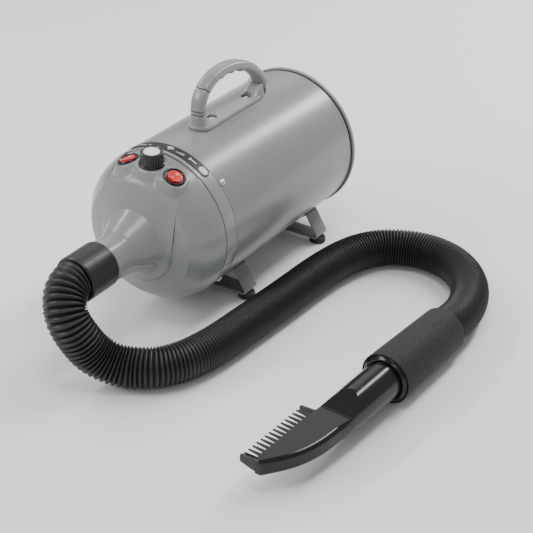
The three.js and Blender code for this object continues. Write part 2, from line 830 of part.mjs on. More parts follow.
function combTooth(y, halfThickness, rootBottom) {
  const side = polygon([
    [-34.4, BLADE_TOP - 5.4],
    [-16, BLADE_TOP - 3.6],
    [-16, rootBottom],
    [-34.4, rootBottom + (rootBottom > BLADE_BOTTOM ? 4 : 0)],
  ]);
  return prismAlongY(side, y - halfThickness, y + halfThickness);
}

// A round tube that flattens into a hollow blade, with a comb along its left edge. Air
// leaves through the slot between the comb's roots.
function nozzle() {
  const tube = turned([
    [0, 34],
    [18.6, 34],
    [19, 33],
    [19, -40],
    [18.2, -86],
    [0, -86],
  ], 28);
  const blade = prismAlongZ(bladePlan(0), BLADE_BOTTOM, BLADE_TOP, 10);
  const aboveTop = [[-200, BLADE_TOP], [-200, 40], [-52, 40]];
  const topRamp = prismAlongX([[-52, 19.6], [-78.6, BLADE_TOP], ...aboveTop]);
  const belowBottom = [[-200, BLADE_BOTTOM], [-200, -40], [-50, -40]];
  const bottomRamp = prismAlongX([[-50, -19.6], [-92, BLADE_BOTTOM], ...belowBottom]);
  const bore = turned([[0, 40], [16.6, 40], [16.6, -44], [5.5, -84], [0, -84]], 20);
  const cavity = prismAlongZ(bladePlan(2.2), BLADE_BOTTOM + 2, BLADE_TOP - 2, 10);
  const slot = block([-25, -168, -1], [-12, -88, 3]);
  const outside = cut(join(tube, blade), topRamp, bottomRamp);
  const first = -84.4;
  const rearPost = combTooth(first, 1.6, BLADE_BOTTOM);
  const frontPost = combTooth(first - 15 * COMB_PITCH + 0.8, 1.8, BLADE_BOTTOM);
  const teeth = [];
  for (let i = 1; i <= 14; i += 1) {
    teeth.push(combTooth(first - i * COMB_PITCH, 0.7, -3.6));
  }
  return join(cut(outside, bore, cavity, slot), rearPost, frontPost, ...teeth);
}

// An outline in Y and Z, run across the nozzle along X.
function prismAlongX(points) {
  const shape = polygon(points);
  const geometry = new THREE.ExtrudeGeometry(shape, { depth: 80, bevelEnabled: false });
  return solid(geometry.translate(0, 0, -40).rotateX(Math.PI / 2).rotateZ(Math.PI / 2));
}

function addHose(axis, dryer) {
  piece('hose_cuff', hoseCuff(), blackPlastic(), axis);
  piece('hose_tube', hoseTube(), finish(0x17181a, 0.45), dryer);
  const wand = new THREE.Group();
  wand.position.copy(MOUTH);
  wand.rotation.z = WAND_TURN;
  dryer.add(wand);
  piece('hose_end_cuff', hoseEndCuff(), blackPlastic(), wand);
  piece('grip_sleeve', gripSleeve(), finish(0x2c2d2f, 0.9), wand);
  piece('nozzle', nozzle(), blackPlastic(), wand);
}

// ---------------------------------------------------------------- the whole object
function petDryer() {
  const dryer = new THREE.Group();
  const axis = new THREE.Group();
  axis.position.z = AXIS_Z;
  dryer.add(axis);
  const cover = new THREE.Group();
  cover.rotation.y = COVER_TWIST;
  axis.add(cover);
  addShell(axis, cover);
  addControls(cover);
  addHandle(dryer);
  addFeet(axis, dryer);
  addHeater(axis);
  addMotor(axis);
  addHose(axis, dryer);
  return dryer;
}

export default petDryer();
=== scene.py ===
"""Looks of the pet dryer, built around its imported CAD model.

Shapes are drawn in millimetres in the row's frame (+Z up, outlet towards -Y, origin on the
floor under the dryer) and turned into metres when a mesh is made.
"""

import json
import math

import bmesh
import bpy
import numpy as np
from mathutils import Matrix, Vector


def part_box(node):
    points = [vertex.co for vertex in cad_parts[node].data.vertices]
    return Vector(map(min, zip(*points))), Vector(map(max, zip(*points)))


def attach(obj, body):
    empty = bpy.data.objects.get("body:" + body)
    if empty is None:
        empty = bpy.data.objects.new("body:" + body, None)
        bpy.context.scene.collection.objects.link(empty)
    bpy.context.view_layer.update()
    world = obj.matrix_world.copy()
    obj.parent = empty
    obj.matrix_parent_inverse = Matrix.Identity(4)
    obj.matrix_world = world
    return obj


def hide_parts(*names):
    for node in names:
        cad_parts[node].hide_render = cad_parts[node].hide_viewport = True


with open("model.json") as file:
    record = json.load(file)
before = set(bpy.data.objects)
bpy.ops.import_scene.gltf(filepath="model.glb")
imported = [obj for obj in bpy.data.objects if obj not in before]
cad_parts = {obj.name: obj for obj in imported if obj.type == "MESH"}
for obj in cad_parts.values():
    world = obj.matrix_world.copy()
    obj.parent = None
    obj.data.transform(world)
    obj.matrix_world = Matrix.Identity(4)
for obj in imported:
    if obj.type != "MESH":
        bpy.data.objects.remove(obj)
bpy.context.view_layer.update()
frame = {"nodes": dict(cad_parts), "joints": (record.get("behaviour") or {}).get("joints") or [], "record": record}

MM = 0.001
GAP = 0.3  # between the barrel and what lies on it


def box_mm(node):
    """The lowest and highest corner of a CAD node, in millimetres."""
    low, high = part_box(node)
    return np.array(low) / MM, np.array(high) / MM


BARREL_LOW, BARREL_HIGH = box_mm("barrel")
AXIS_Z = (BARREL_LOW[2] + BARREL_HIGH[2]) / 2
BARREL_R = (BARREL_HIGH[2] - BARREL_LOW[2]) / 2
RIM_R = box_mm("rear_ring")[1][0]
CREASE_R, CREASE_Y = 59.5, -95.8  # where the dome breaks into the shallow cone of its face
FACE_R, FACE_Y = 37.6, -103.2  # inner end of that face
SPIGOT_END = box_mm("control_nose")[0][1]
CUFF_FRONT, CUFF_BACK = box_mm("hose_cuff")[0][1], box_mm("hose_cuff")[1][1]
CUFF_R = box_mm("hose_cuff")[1][0]
BASE_TOP = 176.3  # deck of the handle's base
HANDLE_SCREW_Y = {"front": 28, "rear": 89}
COVER_TWIST = math.radians(3.3)  # the cover sits a little turned on the barrel
NOSE_HALF_WIDTH = 43.5
HOSE_R = 19.5
MOUTH = (268.3, -82.0, 25.4)  # middle of the grip sleeve's open end
WAND_TURN = math.radians(-3.5)  # sleeve and nozzle, about the vertical
SLEEVE_LENGTH = 104.0

# ------------------------------------------------------------------ camera and hose route


def add_camera():
    data = bpy.data.cameras.new("camera")
    data.lens = 93.5
    data.sensor_width = 36
    data.clip_start = 0.05
    data.clip_end = 50
    camera = bpy.data.objects.new("camera", data)
    camera.location = (0.7493, -0.9975, 0.7593)
    camera.rotation_euler = (math.radians(59.14), 0, math.radians(33.69))
    bpy.context.scene.collection.objects.link(camera)
    bpy.context.scene.camera = camera


add_camera()

# The hose's centreline in metres: out of the dryer's cuff, down to the floor, round the
# dryer's right side and back into the grip sleeve.
HOSE_ROUTE = [
    (0, -0.1924, 0.095),
    (0, -0.1944, 0.095),
    (0.0013, -0.2034, 0.0933),
    (0.0045, -0.2114, 0.0882),
    (0.0087, -0.2169, 0.0812),
    (0.0132, -0.2193, 0.0727),
    (0.0174, -0.2185, 0.0637),
    (0.0211, -0.2159, 0.0549),
    (0.0245, -0.2127, 0.0461),
    (0.0288, -0.2089, 0.0378),
    (0.0346, -0.2047, 0.0308),
    (0.0419, -0.2002, 0.0256),
    (0.0505, -0.1954, 0.022),
    (0.0595, -0.1904, 0.0203),
    (0.0786, -0.1775, 0.020),
    (0.0925, -0.1572, 0.020),
    (0.100, -0.1334, 0.020),
    (0.1042, -0.1088, 0.020),
    (0.1081, -0.0591, 0.020),
    (0.1115, -0.0093, 0.020),
    (0.1141, 0.0405, 0.020),
    (0.1164, 0.0653, 0.020),
    (0.1212, 0.0915, 0.020),
    (0.1299, 0.1148, 0.020),
    (0.145, 0.1345, 0.020),
    (0.1665, 0.1469, 0.020),
    (0.191, 0.151, 0.020),
    (0.2155, 0.1468, 0.020),
    (0.2371, 0.1345, 0.020),
    (0.2541, 0.1164, 0.020),
    (0.2659, 0.0945, 0.0202),
    (0.2726, 0.071, 0.0212),
    (0.2753, 0.050, 0.0234),
    (0.275, 0.0283, 0.0252),
    (0.2732, 0, 0.0254),
    (0.2714, -0.029, 0.0254),
]

# ------------------------------------------------------------------ mesh helpers


def make_mesh(name, verts_mm, faces, place=None, sharp_degrees=32):
    """A mesh object from millimetre points, smooth but for edges sharper than that angle."""
    mesh = bpy.data.meshes.new(name)
    points = np.asarray(verts_mm, float)
    if place is not None:
        m = np.array(place, float)
        points = points @ m[:3, :3].T + m[:3, 3]
    mesh.from_pydata((points * MM).tolist(), [], [list(map(int, f)) for f in faces])
    work = bmesh.new()
    work.from_mesh(mesh)
    bmesh.ops.remove_doubles(work, verts=work.verts, dist=1e-6)
    bmesh.ops.recalc_face_normals(work, faces=work.faces)
    work.to_mesh(mesh)
    work.free()
    mesh.polygons.foreach_set("use_smooth", [True] * len(mesh.polygons))
    mesh.set_sharp_from_angle(angle=math.radians(sharp_degrees))
    obj = bpy.data.objects.new(name, mesh)
    bpy.context.scene.collection.objects.link(obj)
    return obj


def finish_piece(obj, slot, *nodes, body="housing", material=None):
    """Gives a piece the material of its slot, or the one passed in, rides it on a body and lets it stand for CAD
    nodes.
    """
    obj.data.materials.clear()
    obj.data.materials.append(material or SLOT_MATERIALS[slot])
    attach(obj, body)
    if nodes:
        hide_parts(*nodes)
    return obj


def bevel(obj, width_mm, segments, angle):
    """Rounds every edge sharper than the angle."""
    modifier = obj.modifiers.new("bevel", "BEVEL")
    modifier.width = width_mm * MM
    modifier.segments = segments
    modifier.limit_method = "ANGLE"
    modifier.angle_limit = math.radians(angle)


def rounded(corners, steps=5):
    """The outline through (x, y, radius) corners, each turned into an arc of that radius.

    It is closed. One that is used open has no radius at its two ends.
    """
    out = []
    for i, (x, y, radius) in enumerate(corners):
        here = np.array([x, y], float)
        if radius <= 0:
            out.append(here)
            continue
        before = np.array(corners[i - 1][:2], float) - here
        after = np.array(corners[(i + 1) % len(corners)][:2], float) - here
        len_a, len_b = np.linalg.norm(before), np.linalg.norm(after)
        before, after = before / len_a, after / len_b
        half = math.acos(np.clip(before @ after, -1, 1)) / 2
        if half > math.pi / 2 - 0.01:
            out.append(here)
            continue
        reach = min(radius / math.tan(half), 0.49 * len_a, 0.49 * len_b)
        radius = reach * math.tan(half)
        middle = (before + after) / np.linalg.norm(before + after) * radius / math.sin(half)
        centre = here + middle
        start, end = here + before * reach - centre, here + after * reach - centre
        sweep = math.atan2(start[0] * end[1] - start[1] * end[0], start @ end)
        for k in range(steps + 1):
            a = sweep * k / steps
            c, s = math.cos(a), math.sin(a)
            out.append(centre + [c * start[0] - s * start[1], s * start[0] + c * start[1]])
    return np.array(out)


def grid_faces(rows, columns, wrap_rows=False, wrap_columns=False):
    """Quads of a grid whose vertex (row, column) has index row * columns + column."""
    faces = []
    for i in range(rows if wrap_rows else rows - 1):
        for j in range(columns if wrap_columns else columns - 1):
            i2, j2 = (i + 1) % rows, (j + 1) % columns
            faces.append((i * columns + j, i2 * columns + j, i2 * columns + j2, i * columns + j2))
    return faces


def shifted(faces, first):
    """The same faces for points whose numbers start at first."""
    return [tuple(first + k for k in face) for face in faces]


def capped(name, rings, place=None, **options):
    """A solid from equal rings of points: walls from each ring to the next and two end caps."""
    verts = [p for ring in rings for p in ring]
    columns = len(rings[0])
    faces = grid_faces(len(rings), columns, wrap_columns=True)
    faces += [tuple(range(columns)), tuple(range(len(verts) - columns, len(verts)))]
    return make_mesh(name, verts, faces, place, **options)


def slab(name, half_x, y_range, z_range, place):
    """A plain box, centred across X."""
    low, high = y_range
    ring = ((-half_x, low), (half_x, low), (half_x, high), (-half_x, high))
    return capped(name, [[(x, y, z) for x, y in ring] for z in z_range], place)


def full_circle(count):
    return [2 * math.pi * k / count for k in range(count)]


def around(r, y, a):
    """The point at a radius, a place along Y and an angle from straight up."""
    return (r * math.sin(a), y, r * math.cos(a))


ON_AXIS = Matrix.Translation((0, 0, AXIS_Z))


def turned(name, corners, segments=128, place=None, flute=None, steps=5, **options):
    """An outline of (radius, y, rounding) corners turned about the Y axis.

    Without a place it turns about the barrel's axis; flute(angle, radius) may push a point out.
    """
    outline = rounded(corners, steps)
    angles = full_circle(segments)
    verts = []
    for r, y in outline:
        verts += [around(r if flute is None else r + flute(a, r), y, a) for a in angles]
    faces = grid_faces(len(outline), segments, wrap_rows=True, wrap_columns=True)
    return make_mesh(name, verts, faces, ON_AXIS if place is None else place, **options)


UPRIGHT = Matrix.Rotation(math.pi / 2, 4, "X")  # takes a part turned about Y to one turned about Z


def turned_up(name, corners, place, segments, **options):
    """The same from (radius, z, rounding) corners, turned about the Z axis of a placing matrix."""
    return turned(name, corners, segments, place @ UPRIGHT, **options)


def rings_disc(name, radius, height, place, rings, segments, skirt, **options):
    """A round plug whose top follows height(x, y); its underside is flat at -skirt."""
    circle = full_circle(segments)
    verts = [(0, 0, height(0, 0))]
    for i in range(1, rings + 1):
        r = radius * i / rings
        for a in circle:
            x, y = r * math.cos(a), r * math.sin(a)
            verts.append((x, y, height(x, y)))
    verts += [(radius * math.cos(a), radius * math.sin(a), -skirt) for a in circle]
    faces = [(0, 1 + j, 1 + (j + 1) % segments) for j in range(segments)]
    faces += shifted(grid_faces(rings + 1, segments, wrap_columns=True), 1)
    faces.append(tuple(1 + rings * segments + j for j in range(segments)))
    return make_mesh(name, verts, faces, place, **options)


def resample(points, count):
    """That many points, evenly spaced along a line."""
    points = np.asarray(points, float)
    along = np.r_[0, np.cumsum(np.linalg.norm(np.diff(points, axis=0), axis=1))]
    even = np.linspace(0, along[-1], count)
    return np.stack([np.interp(even, along, column) for column in points.T], axis=1)


def length_of(points):
    return np.linalg.norm(np.diff(points, axis=0), axis=1).sum()


def unit_tangents(points):
    tangents = np.gradient(points, axis=0)
    return tangents / np.linalg.norm(tangents, axis=1)[:, None]


def parallel_frames(points):
    """Rotation-minimising normals and binormals along a line of points."""
    tangents = unit_tangents(points)
    normal = np.cross(tangents[0], (0, 0, 1.0))
    normals = []
    for t in tangents:
        normal = normal - t * (normal @ t)
        normal = normal / np.linalg.norm(normal)
        normals.append(normal)
    return np.array(normals), np.cross(tangents, normals)


def smooth_line(points, spacing):
    """Evenly spaced points on the centripetal Catmull-Rom curve through the given ones."""

    def between(first, last, start, end, t):
        return (end - t) / (end - start) * first + (t - start) / (end - start) * last

    p = np.asarray(points, float)
    p = np.vstack([2 * p[0] - p[1], p, 2 * p[-1] - p[-2]])
    dense = []
    for a, b, c, d in zip(p[:-3], p[1:-2], p[2:-1], p[3:]):
        t1 = math.sqrt(np.linalg.norm(b - a))
        t2 = t1 + math.sqrt(np.linalg.norm(c - b))
        t3 = t2 + math.sqrt(np.linalg.norm(d - c))
        t = np.linspace(t1, t2, 24, endpoint=False)[:, None]
        bc = between(b, c, t1, t2, t)
        first = between(between(a, b, 0, t1, t), bc, 0, t2, t)
        second = between(bc, between(c, d, t2, t3, t), t1, t3, t)
        dense.extend(between(first, second, t1, t2, t))
    dense = np.vstack([dense, p[-2]])
    return resample(dense, round(length_of(dense) / spacing) + 1)


def smoothstep(low, high, x):
    t = np.clip((x - low) / (high - low), 0, 1)
    return t * t * (3 - 2 * t)


# ------------------------------------------------------------------ materials


class Shader:
    """A node material under construction, with its principled shader as self.bsdf."""

    def __init__(self, name, color, roughness, metallic=0.0, **sockets):
        self.material = bpy.data.materials.new(name)
        self.material.use_nodes = True
        self.tree = self.material.node_tree
        self.bsdf = self.tree.nodes["Principled BSDF"]
        self.bsdf.inputs["Base Color"].default_value = (*color, 1)
        self.bsdf.inputs["Roughness"].default_value = roughness
        self.bsdf.inputs["Metallic"].default_value = metallic
        for socket, value in sockets.items():
            self.bsdf.inputs[socket.replace("_", " ")].default_value = value
        self.color = color
        coordinate = self.tree.nodes.new("ShaderNodeTexCoord")
        self.position = coordinate.outputs["Object"]
        self.height = None

    def node(self, kind, **values):
        made = self.tree.nodes.new(kind)
        for key, value in values.items():
            if hasattr(made, key):
                setattr(made, key, value)
            else:
                made.inputs[key.replace("_", " ")].default_value = value
        return made

    def link(self, source, target):
        self.tree.links.new(source, target)

    def stretched(self, scale):
        """The object's own coordinates, scaled by different amounts along X, Y and Z."""
        mapping = self.node("ShaderNodeMapping")
        mapping.inputs["Scale"].default_value = scale
        self.link(self.position, mapping.inputs["Vector"])
        return mapping.outputs["Vector"]

    def noise(self, scale, detail=3.0, vector=None):
        made = self.node("ShaderNodeTexNoise", Scale=scale, Detail=detail, Roughness=0.55)
        self.link(vector or self.position, made.inputs["Vector"])
        return made.outputs["Fac"]

    def cells(self, scale):
        made = self.node("ShaderNodeTexVoronoi", Scale=scale)
        self.link(self.position, made.inputs["Vector"])
        return made.outputs["Distance"]

    def ranged(self, value, low, high):
        """The middle of a noise's values, 0.3 to 0.7, spread from low to high."""
        made = self.node("ShaderNodeMapRange", From_Min=0.3, From_Max=0.7, To_Min=low, To_Max=high)
        self.link(value, made.inputs["Value"])
        return made.outputs["Result"]

    def vary_color(self, value, darker, lighter):
        """Colour runs between two multiples of the base colour as the value rises."""
        ramp = self.node("ShaderNodeMix", data_type="RGBA")
        self.link(self.ranged(value, 0, 1), ramp.inputs["Factor"])
        sides = [socket for socket in ramp.inputs if socket.type == "RGBA"]
        sides[0].default_value = (*[min(1, c * darker) for c in self.color], 1)
        sides[1].default_value = (*[min(1, c * lighter) for c in self.color], 1)
        result = [socket for socket in ramp.outputs if socket.type == "RGBA"][0]
        self.link(result, self.bsdf.inputs["Base Color"])

    def vary_roughness(self, value, low, high):
        self.link(self.ranged(value, low, high), self.bsdf.inputs["Roughness"])

    def bump(self, value, depth_mm, strength=0.6):
        """Adds one layer of relief on top of those already there."""
        made = self.node("ShaderNodeBump", Strength=strength, Distance=depth_mm * MM)
        self.link(value, made.inputs["Height"])
        if self.height is not None:
            self.link(self.height, made.inputs["Normal"])
        self.height = made.outputs["Normal"]
        self.link(self.height, self.bsdf.inputs["Normal"])


def stoved_paint(name, color):
    """Satin paint on sheet metal: orange peel, faint tone drift, a thin clear sheen."""
    s = Shader(name, color, 0.3, Coat_Weight=0.25, Coat_Roughness=0.2)
    s.vary_color(s.noise(14, 4), 0.965, 1.035)
    s.vary_roughness(s.noise(60, 3), 0.28, 0.33)
    s.bump(s.noise(420, 2), 0.012, 0.08)
    s.bump(s.noise(2600, 2), 0.005, 0.1)
    return s.material


def moulded_plastic(name, color, roughness, grain=0.3, coat=0.0, speckle=0.04, specular=0.5):
    """Injection-moulded plastic: fine spark-eroded grain, flow marks, handling sheen."""
    s = Shader(name, color, roughness, Coat_Weight=coat, Coat_Roughness=0.12, Specular_IOR_Level=specular)
    s.vary_color(s.noise(22, 4), 1 - speckle, 1 + speckle)
    s.vary_roughness(s.noise(75, 3), roughness - 0.02, roughness + 0.05)
    s.bump(s.noise(2400, 3), 0.02, grain)
    s.bump(s.noise(170, 2), 0.03, 0.12)
    return s.material


def soft_rubber(name, color, roughness=0.7):
    s = Shader(name, color, roughness, Sheen_Weight=0.08, Sheen_Roughness=0.5)
    s.vary_color(s.noise(90, 5), 0.75, 1.35)
    s.vary_roughness(s.noise(130, 4), roughness - 0.1, roughness + 0.1)
    s.bump(s.noise(1500, 4), 0.05, 0.4)
    return s.material


def cell_foam(name, color, cell_scale=1500, depth_mm=0.12):
    """Foam with a close skin of tiny cells."""
    s = Shader(name, color, 0.8, Sheen_Weight=0.06, Sheen_Roughness=0.45)
    s.vary_color(s.noise(55, 5), 0.85, 1.18)
    s.vary_roughness(s.noise(300, 3), 0.72, 0.88)
    s.bump(s.cells(cell_scale), depth_mm, 0.35)
    s.bump(s.noise(3200, 3), 0.04, 0.3)
    return s.material


def brushed_metal(name, color, roughness, streak=(60, 60, 1800), metallic=1.0):
    s = Shader(name, color, roughness, metallic)
    lines = s.noise(1.0, 4, vector=s.stretched(streak))
    s.vary_color(lines, 0.88, 1.08)
    s.vary_roughness(lines, roughness - 0.06, roughness + 0.1)
    s.bump(lines, 0.01, 0.25)
    return s.material


def coated_strap(name, color):
    """Dark coated steel strap with fine scratches along it and slightly worn tone."""
    s = Shader(name, color, 0.42, 0.35, Coat_Weight=0.15, Coat_Roughness=0.3)
    lines = s.noise(1.0, 5, vector=s.stretched((900, 40, 900)))
    s.vary_color(lines, 0.82, 1.2)
    s.vary_roughness(s.noise(220, 4), 0.36, 0.52)
    s.bump(lines, 0.02, 0.3)
    return s.material


def clear_red(name, color):
    """Rocker moulding: glossy, slightly see-through red."""
    s = Shader(name, color, 0.24, Coat_Weight=0.2, Coat_Roughness=0.08, Subsurface_Weight=0.25)
    s.bsdf.inputs["Subsurface Radius"].default_value = (0.002, 0.0004, 0.0003)
    s.vary_color(s.noise(160, 3), 0.88, 1.1)
    s.vary_roughness(s.noise(500, 3), 0.2, 0.3)
    return s.material


def windings(name, color):
    s = Shader(name, color, 0.4, 0.6)
    lines = s.noise(1.0, 3, vector=s.stretched((300, 1600, 300)))
    s.vary_color(lines, 0.6, 1.25)
    s.bump(lines, 0.2, 0.5)
    return s.material


SLOT_MATERIALS = {
    "body_paint": stoved_paint("body_paint", (0.213, 0.223, 0.216)),
    "cover_plastic": moulded_plastic("cover_plastic", (0.23, 0.243, 0.236), 0.3, grain=0.18, coat=0.25),
    "rim_plastic": moulded_plastic("rim_plastic", (0.3, 0.31, 0.3), 0.4),
    "black_plastic": moulded_plastic(
        "black_plastic", (0.007, 0.007, 0.0075), 0.16, grain=0.06, speckle=0.15, specular=0.4
    ),
    "label": moulded_plastic(
        "label_film", (0.017, 0.018, 0.0185), 0.42, grain=0.2, speckle=0.1, specular=0.3
    ),
    "switch_red": clear_red("switch_red", (0.68, 0.014, 0.01)),
    "cap_silver": brushed_metal("cap_silver", (0.92, 0.93, 0.94), 0.38, (700, 700, 700), 0.55),
    "bracket_steel": coated_strap("bracket_steel", (0.22, 0.226, 0.223)),
    "black_rubber": soft_rubber("black_rubber", (0.014, 0.014, 0.0145)),
    "sleeve_foam": cell_foam("sleeve_foam", (0.0095, 0.0097, 0.0102)),
    "hose_plastic": moulded_plastic("hose_plastic", (0.009, 0.009, 0.0094), 0.44, 0.15, speckle=0.2),
    "bright_steel": brushed_metal("bright_steel", (0.68, 0.69, 0.7), 0.26),
    "grey_foam": cell_foam("grey_foam", (0.05, 0.052, 0.055), cell_scale=900, depth_mm=0.5),
    "cast_alloy": brushed_metal("cast_alloy", (0.5, 0.51, 0.52), 0.42, (500, 500, 500)),
    "copper": windings("copper", (0.6, 0.27, 0.12)),
    "carbon": soft_rubber("carbon", (0.03, 0.03, 0.032), 0.55),
    "mica": moulded_plastic("mica", (0.5, 0.42, 0.28), 0.6, speckle=0.15),
    "ceramic": moulded_plastic("ceramic", (0.8, 0.79, 0.74), 0.35),
    "board": moulded_plastic("board", (0.03, 0.16, 0.06), 0.4, speckle=0.15),
}
# looks of single pieces that share a slot with others
GRILLE = moulded_plastic("grille_plastic", (0.02, 0.02, 0.021), 0.42, grain=0.4, speckle=0.15)
SATIN = moulded_plastic("satin_black", (0.009, 0.009, 0.0094), 0.38, grain=0.15, speckle=0.15)
PRINT = moulded_plastic("white_print", (0.8, 0.81, 0.8), 0.5, speckle=0.03)
PILL = moulded_plastic("light_print", (0.55, 0.57, 0.56), 0.45, speckle=0.05)


def paint_cad_nodes():
    """Every CAD node takes the material of its slot in the record."""
    for row in frame["record"]["subparts"]:
        node = frame["nodes"][row["node"]]
        node.data.materials.clear()
        node.data.materials.append(SLOT_MATERIALS[row["material_slot"]])
        node.data.polygons.foreach_set("use_smooth", [True] * len(node.data.polygons))
        node.data.set_sharp_from_angle(angle=math.radians(30))


paint_cad_nodes()

# ------------------------------------------------------------------ barrel and rear


def add_barrel():
    low, high = BARREL_LOW[1], BARREL_HIGH[1]
    inner = BARREL_R - 1.2
    corners = [(BARREL_R, low, 0.5), (BARREL_R, high, 0.5), (inner, high, 0.5), (inner, low, 0.5)]
    finish_piece(turned("barrel_sheet", corners, 256), "body_paint", "barrel")


def add_rear_ring():
    seal = [(76.7, 174.25, 0.4), (78.5, 174.25, 0.7), (78.5, 176.05, 0.7), (76.7, 176.05, 0.4)]
    finish_piece(turned("rear_seal", seal, 192), "black_rubber", "rear_gasket")
    corners = [
        (73.9, 158, 0.5), (76.4, 158, 0.5), (76.4, 176.3, 0.2), (RIM_R, 176.3, 0.8), (RIM_R, 180, 1.1),
        (76.9, 180, 1.0), (76.2, 177.8, 0.8), (58.3, 177.8, 0.7), (58.3, 166.3, 0.3), (50, 166.3, 0.5),
        (50, 163.8, 0.5), (60.8, 163.8, 0.5), (60.8, 175.3, 0.5), (73.9, 175.3, 0.5),
    ]
    ring = turned("rear_end_ring", corners, 192)
    cut_round(ring, 5.2, (0, 176.5, AXIS_Z - 67.3), 10)
    finish_piece(ring, "rim_plastic", "rear_ring")


def combine(obj, other, operation="DIFFERENCE"):
    """Takes the other's shape out of the object, or adds it; the other is then gone."""
    modifier = obj.modifiers.new("combine", "BOOLEAN")
    modifier.operation = operation
    modifier.solver = "EXACT"
    modifier.object = other
    apply_modifiers(obj)
    bpy.data.objects.remove(other)


def apply_modifiers(obj):
    """Bakes the modifiers into the mesh."""
    bpy.context.view_layer.update()
    evaluated = obj.evaluated_get(bpy.context.evaluated_depsgraph_get())
    mesh = bpy.data.meshes.new_from_object(evaluated)
    obj.modifiers.clear()
    obj.data = mesh


def cut_round(obj, radius, centre, length, direction=(0, 1, 0)):
    """Drills a round hole of that length, centred on a point, along a direction."""
    turn = Vector((0, 1, 0)).rotation_difference(Vector(direction)).to_matrix().to_4x4()
    rings = [[around(radius, y, a) for a in full_circle(48)] for y in (-length / 2, length / 2)]
    combine(obj, capped("cutter", rings, Matrix.Translation(centre) @ turn))


def add_grille():
    grille = frame["nodes"]["intake_grille"]
    grille.data.materials.clear()
    grille.data.materials.append(GRILLE)
    bevel(grille, 0.35, 2, 35)


add_barrel()
add_rear_ring()
add_grille()

# ------------------------------------------------------------------ front cover

TWIST = Matrix.Translation((0, 0, AXIS_Z)) @ Matrix.Rotation(COVER_TWIST, 4, "Y")


def joint(name):
    return next(j for j in frame["joints"] if j["name"] == name)


def seat(joint_name, forward_degrees):
    """The placing matrix of a control: its Z is the control's own axis, leaning forward."""
    origin = Vector(joint(joint_name)["pos_m"]) / MM
    radial = Vector((origin.x, 0, origin.z - AXIS_Z)).normalized()
    across = Vector((0, 1, 0)).cross(radial)
    lean = math.radians(forward_degrees)
    normal = radial * math.cos(lean) - Vector((0, 1, 0)) * math.sin(lean)
    up_the_face = normal.cross(across)
    turn = Matrix((across, up_the_face, normal)).transposed().to_4x4()
    return Matrix.Translation(origin) @ turn


KNOB_SEAT = seat("knob_turn", 2)
SWITCH_SEATS = {"left": seat("left_rocker_tilt", 5), "right": seat("right_rocker_tilt", 5)}
KNOB_BOSS_R = 14.5
SWITCH_BOSS_R = 12.9
BOSSES = [(KNOB_SEAT, KNOB_BOSS_R)] + [(place, SWITCH_BOSS_R) for place in SWITCH_SEATS.values()]
BAND_Y = -48.5  # middle of the collar band, where the label and the flank pockets lie


def radial_place(turn_degrees, r, y):
    """The placing matrix of something on the cover, its Z pointing out from the axis."""
    turn = Matrix.Rotation(math.radians(turn_degrees), 4, "Y")
    return TWIST @ turn @ Matrix.Translation((0, y, r))


def add_cover_band():
    corners = [
        (74, -28, 0.4), (76.4, -28, 0.4), (76.4, -42, 0.2), (78, -42, 0.5), (78, -58, 0.6),
        (76.6, -58.3, 0.3), (74, -58.3, 0.4),
    ]
    band = turned("cover_band", corners, 192, TWIST)
    for angle in (103, -103):
        pocket_place = radial_place(angle, BARREL_R - 1.1, BAND_Y)
        combine(band, slab("pocket", 8, (-6.2, 6.2), (0, 5), pocket_place))
    bevel(band, 0.35, 2, 50)
    finish_piece(band, "cover_plastic")


def face_y(r):
    """Y of the shallow front face at a radius."""
    return CREASE_Y + (FACE_Y - CREASE_Y) * (CREASE_R - r) / (CREASE_R - FACE_R)


def add_cover_dome():
    """The dome, open at the top where the nose moulding's U-shaped outline passes."""
    half_width = NOSE_HALF_WIDTH + 0.15
    front = face_y(half_width)
    corners = [
        (76.8, -58.6, 0), (78.4, -60.6, 1.6), (77.2, -66, 14), (75.3, -73.5, 30), (72.2, -80.6, 30),
        (67.6, -87, 30), (CREASE_R, CREASE_Y, 1.5), (half_width, front, 0), (half_width, front + 2.4, 0),
        (CREASE_R - 1.5, CREASE_Y + 2.2, 3), (69.6, -78.6, 20), (73, -68, 10), (74.2, -58.6, 0),
    ]
    rings = []
    for r, y in rounded(corners, 6):
        start = math.asin(min(1, half_width / r))
        angles = np.linspace(start, 2 * math.pi - start, 161)
        rings.append([around(r, y, a) for a in angles])
    sections = list(zip(*rings))
    dome = capped("cover_dome", sections, TWIST)
    bevel(dome, 0.45, 3, 45)
    finish_piece(dome, "cover_plastic", "front_cover")


def panel_outline():
    """(radius, y) down the control panel and the bib, from the band's foot to the cone ring."""
    corners = [
        (76.4, -58.9, 0), (74.6, -68, 60), (72.3, -79, 30), (67.5, -87, 30), (CREASE_R, CREASE_Y, 1.5),
        (NOSE_HALF_WIDTH, face_y(NOSE_HALF_WIDTH), 0),
    ]
    return resample(rounded(corners, 8), 116)


def cone_outline():
    """(radius, y) from the bib down the cone and along the spigot."""
    corners = [
        (NOSE_HALF_WIDTH, face_y(NOSE_HALF_WIDTH), 0), (38, face_y(38), 0), (34.2, face_y(34.2), 0.5),
        (31.8, FACE_Y - 5.8, 4), (22.3, -128.2, 2.5), (21.3, -129.6, 1.2), (21.0, -133, 2),
        (21.0, SPIGOT_END, 0.8), (18.7, SPIGOT_END, 0.6), (18.7, -150, 0),
    ]
    return rounded(corners, 6)


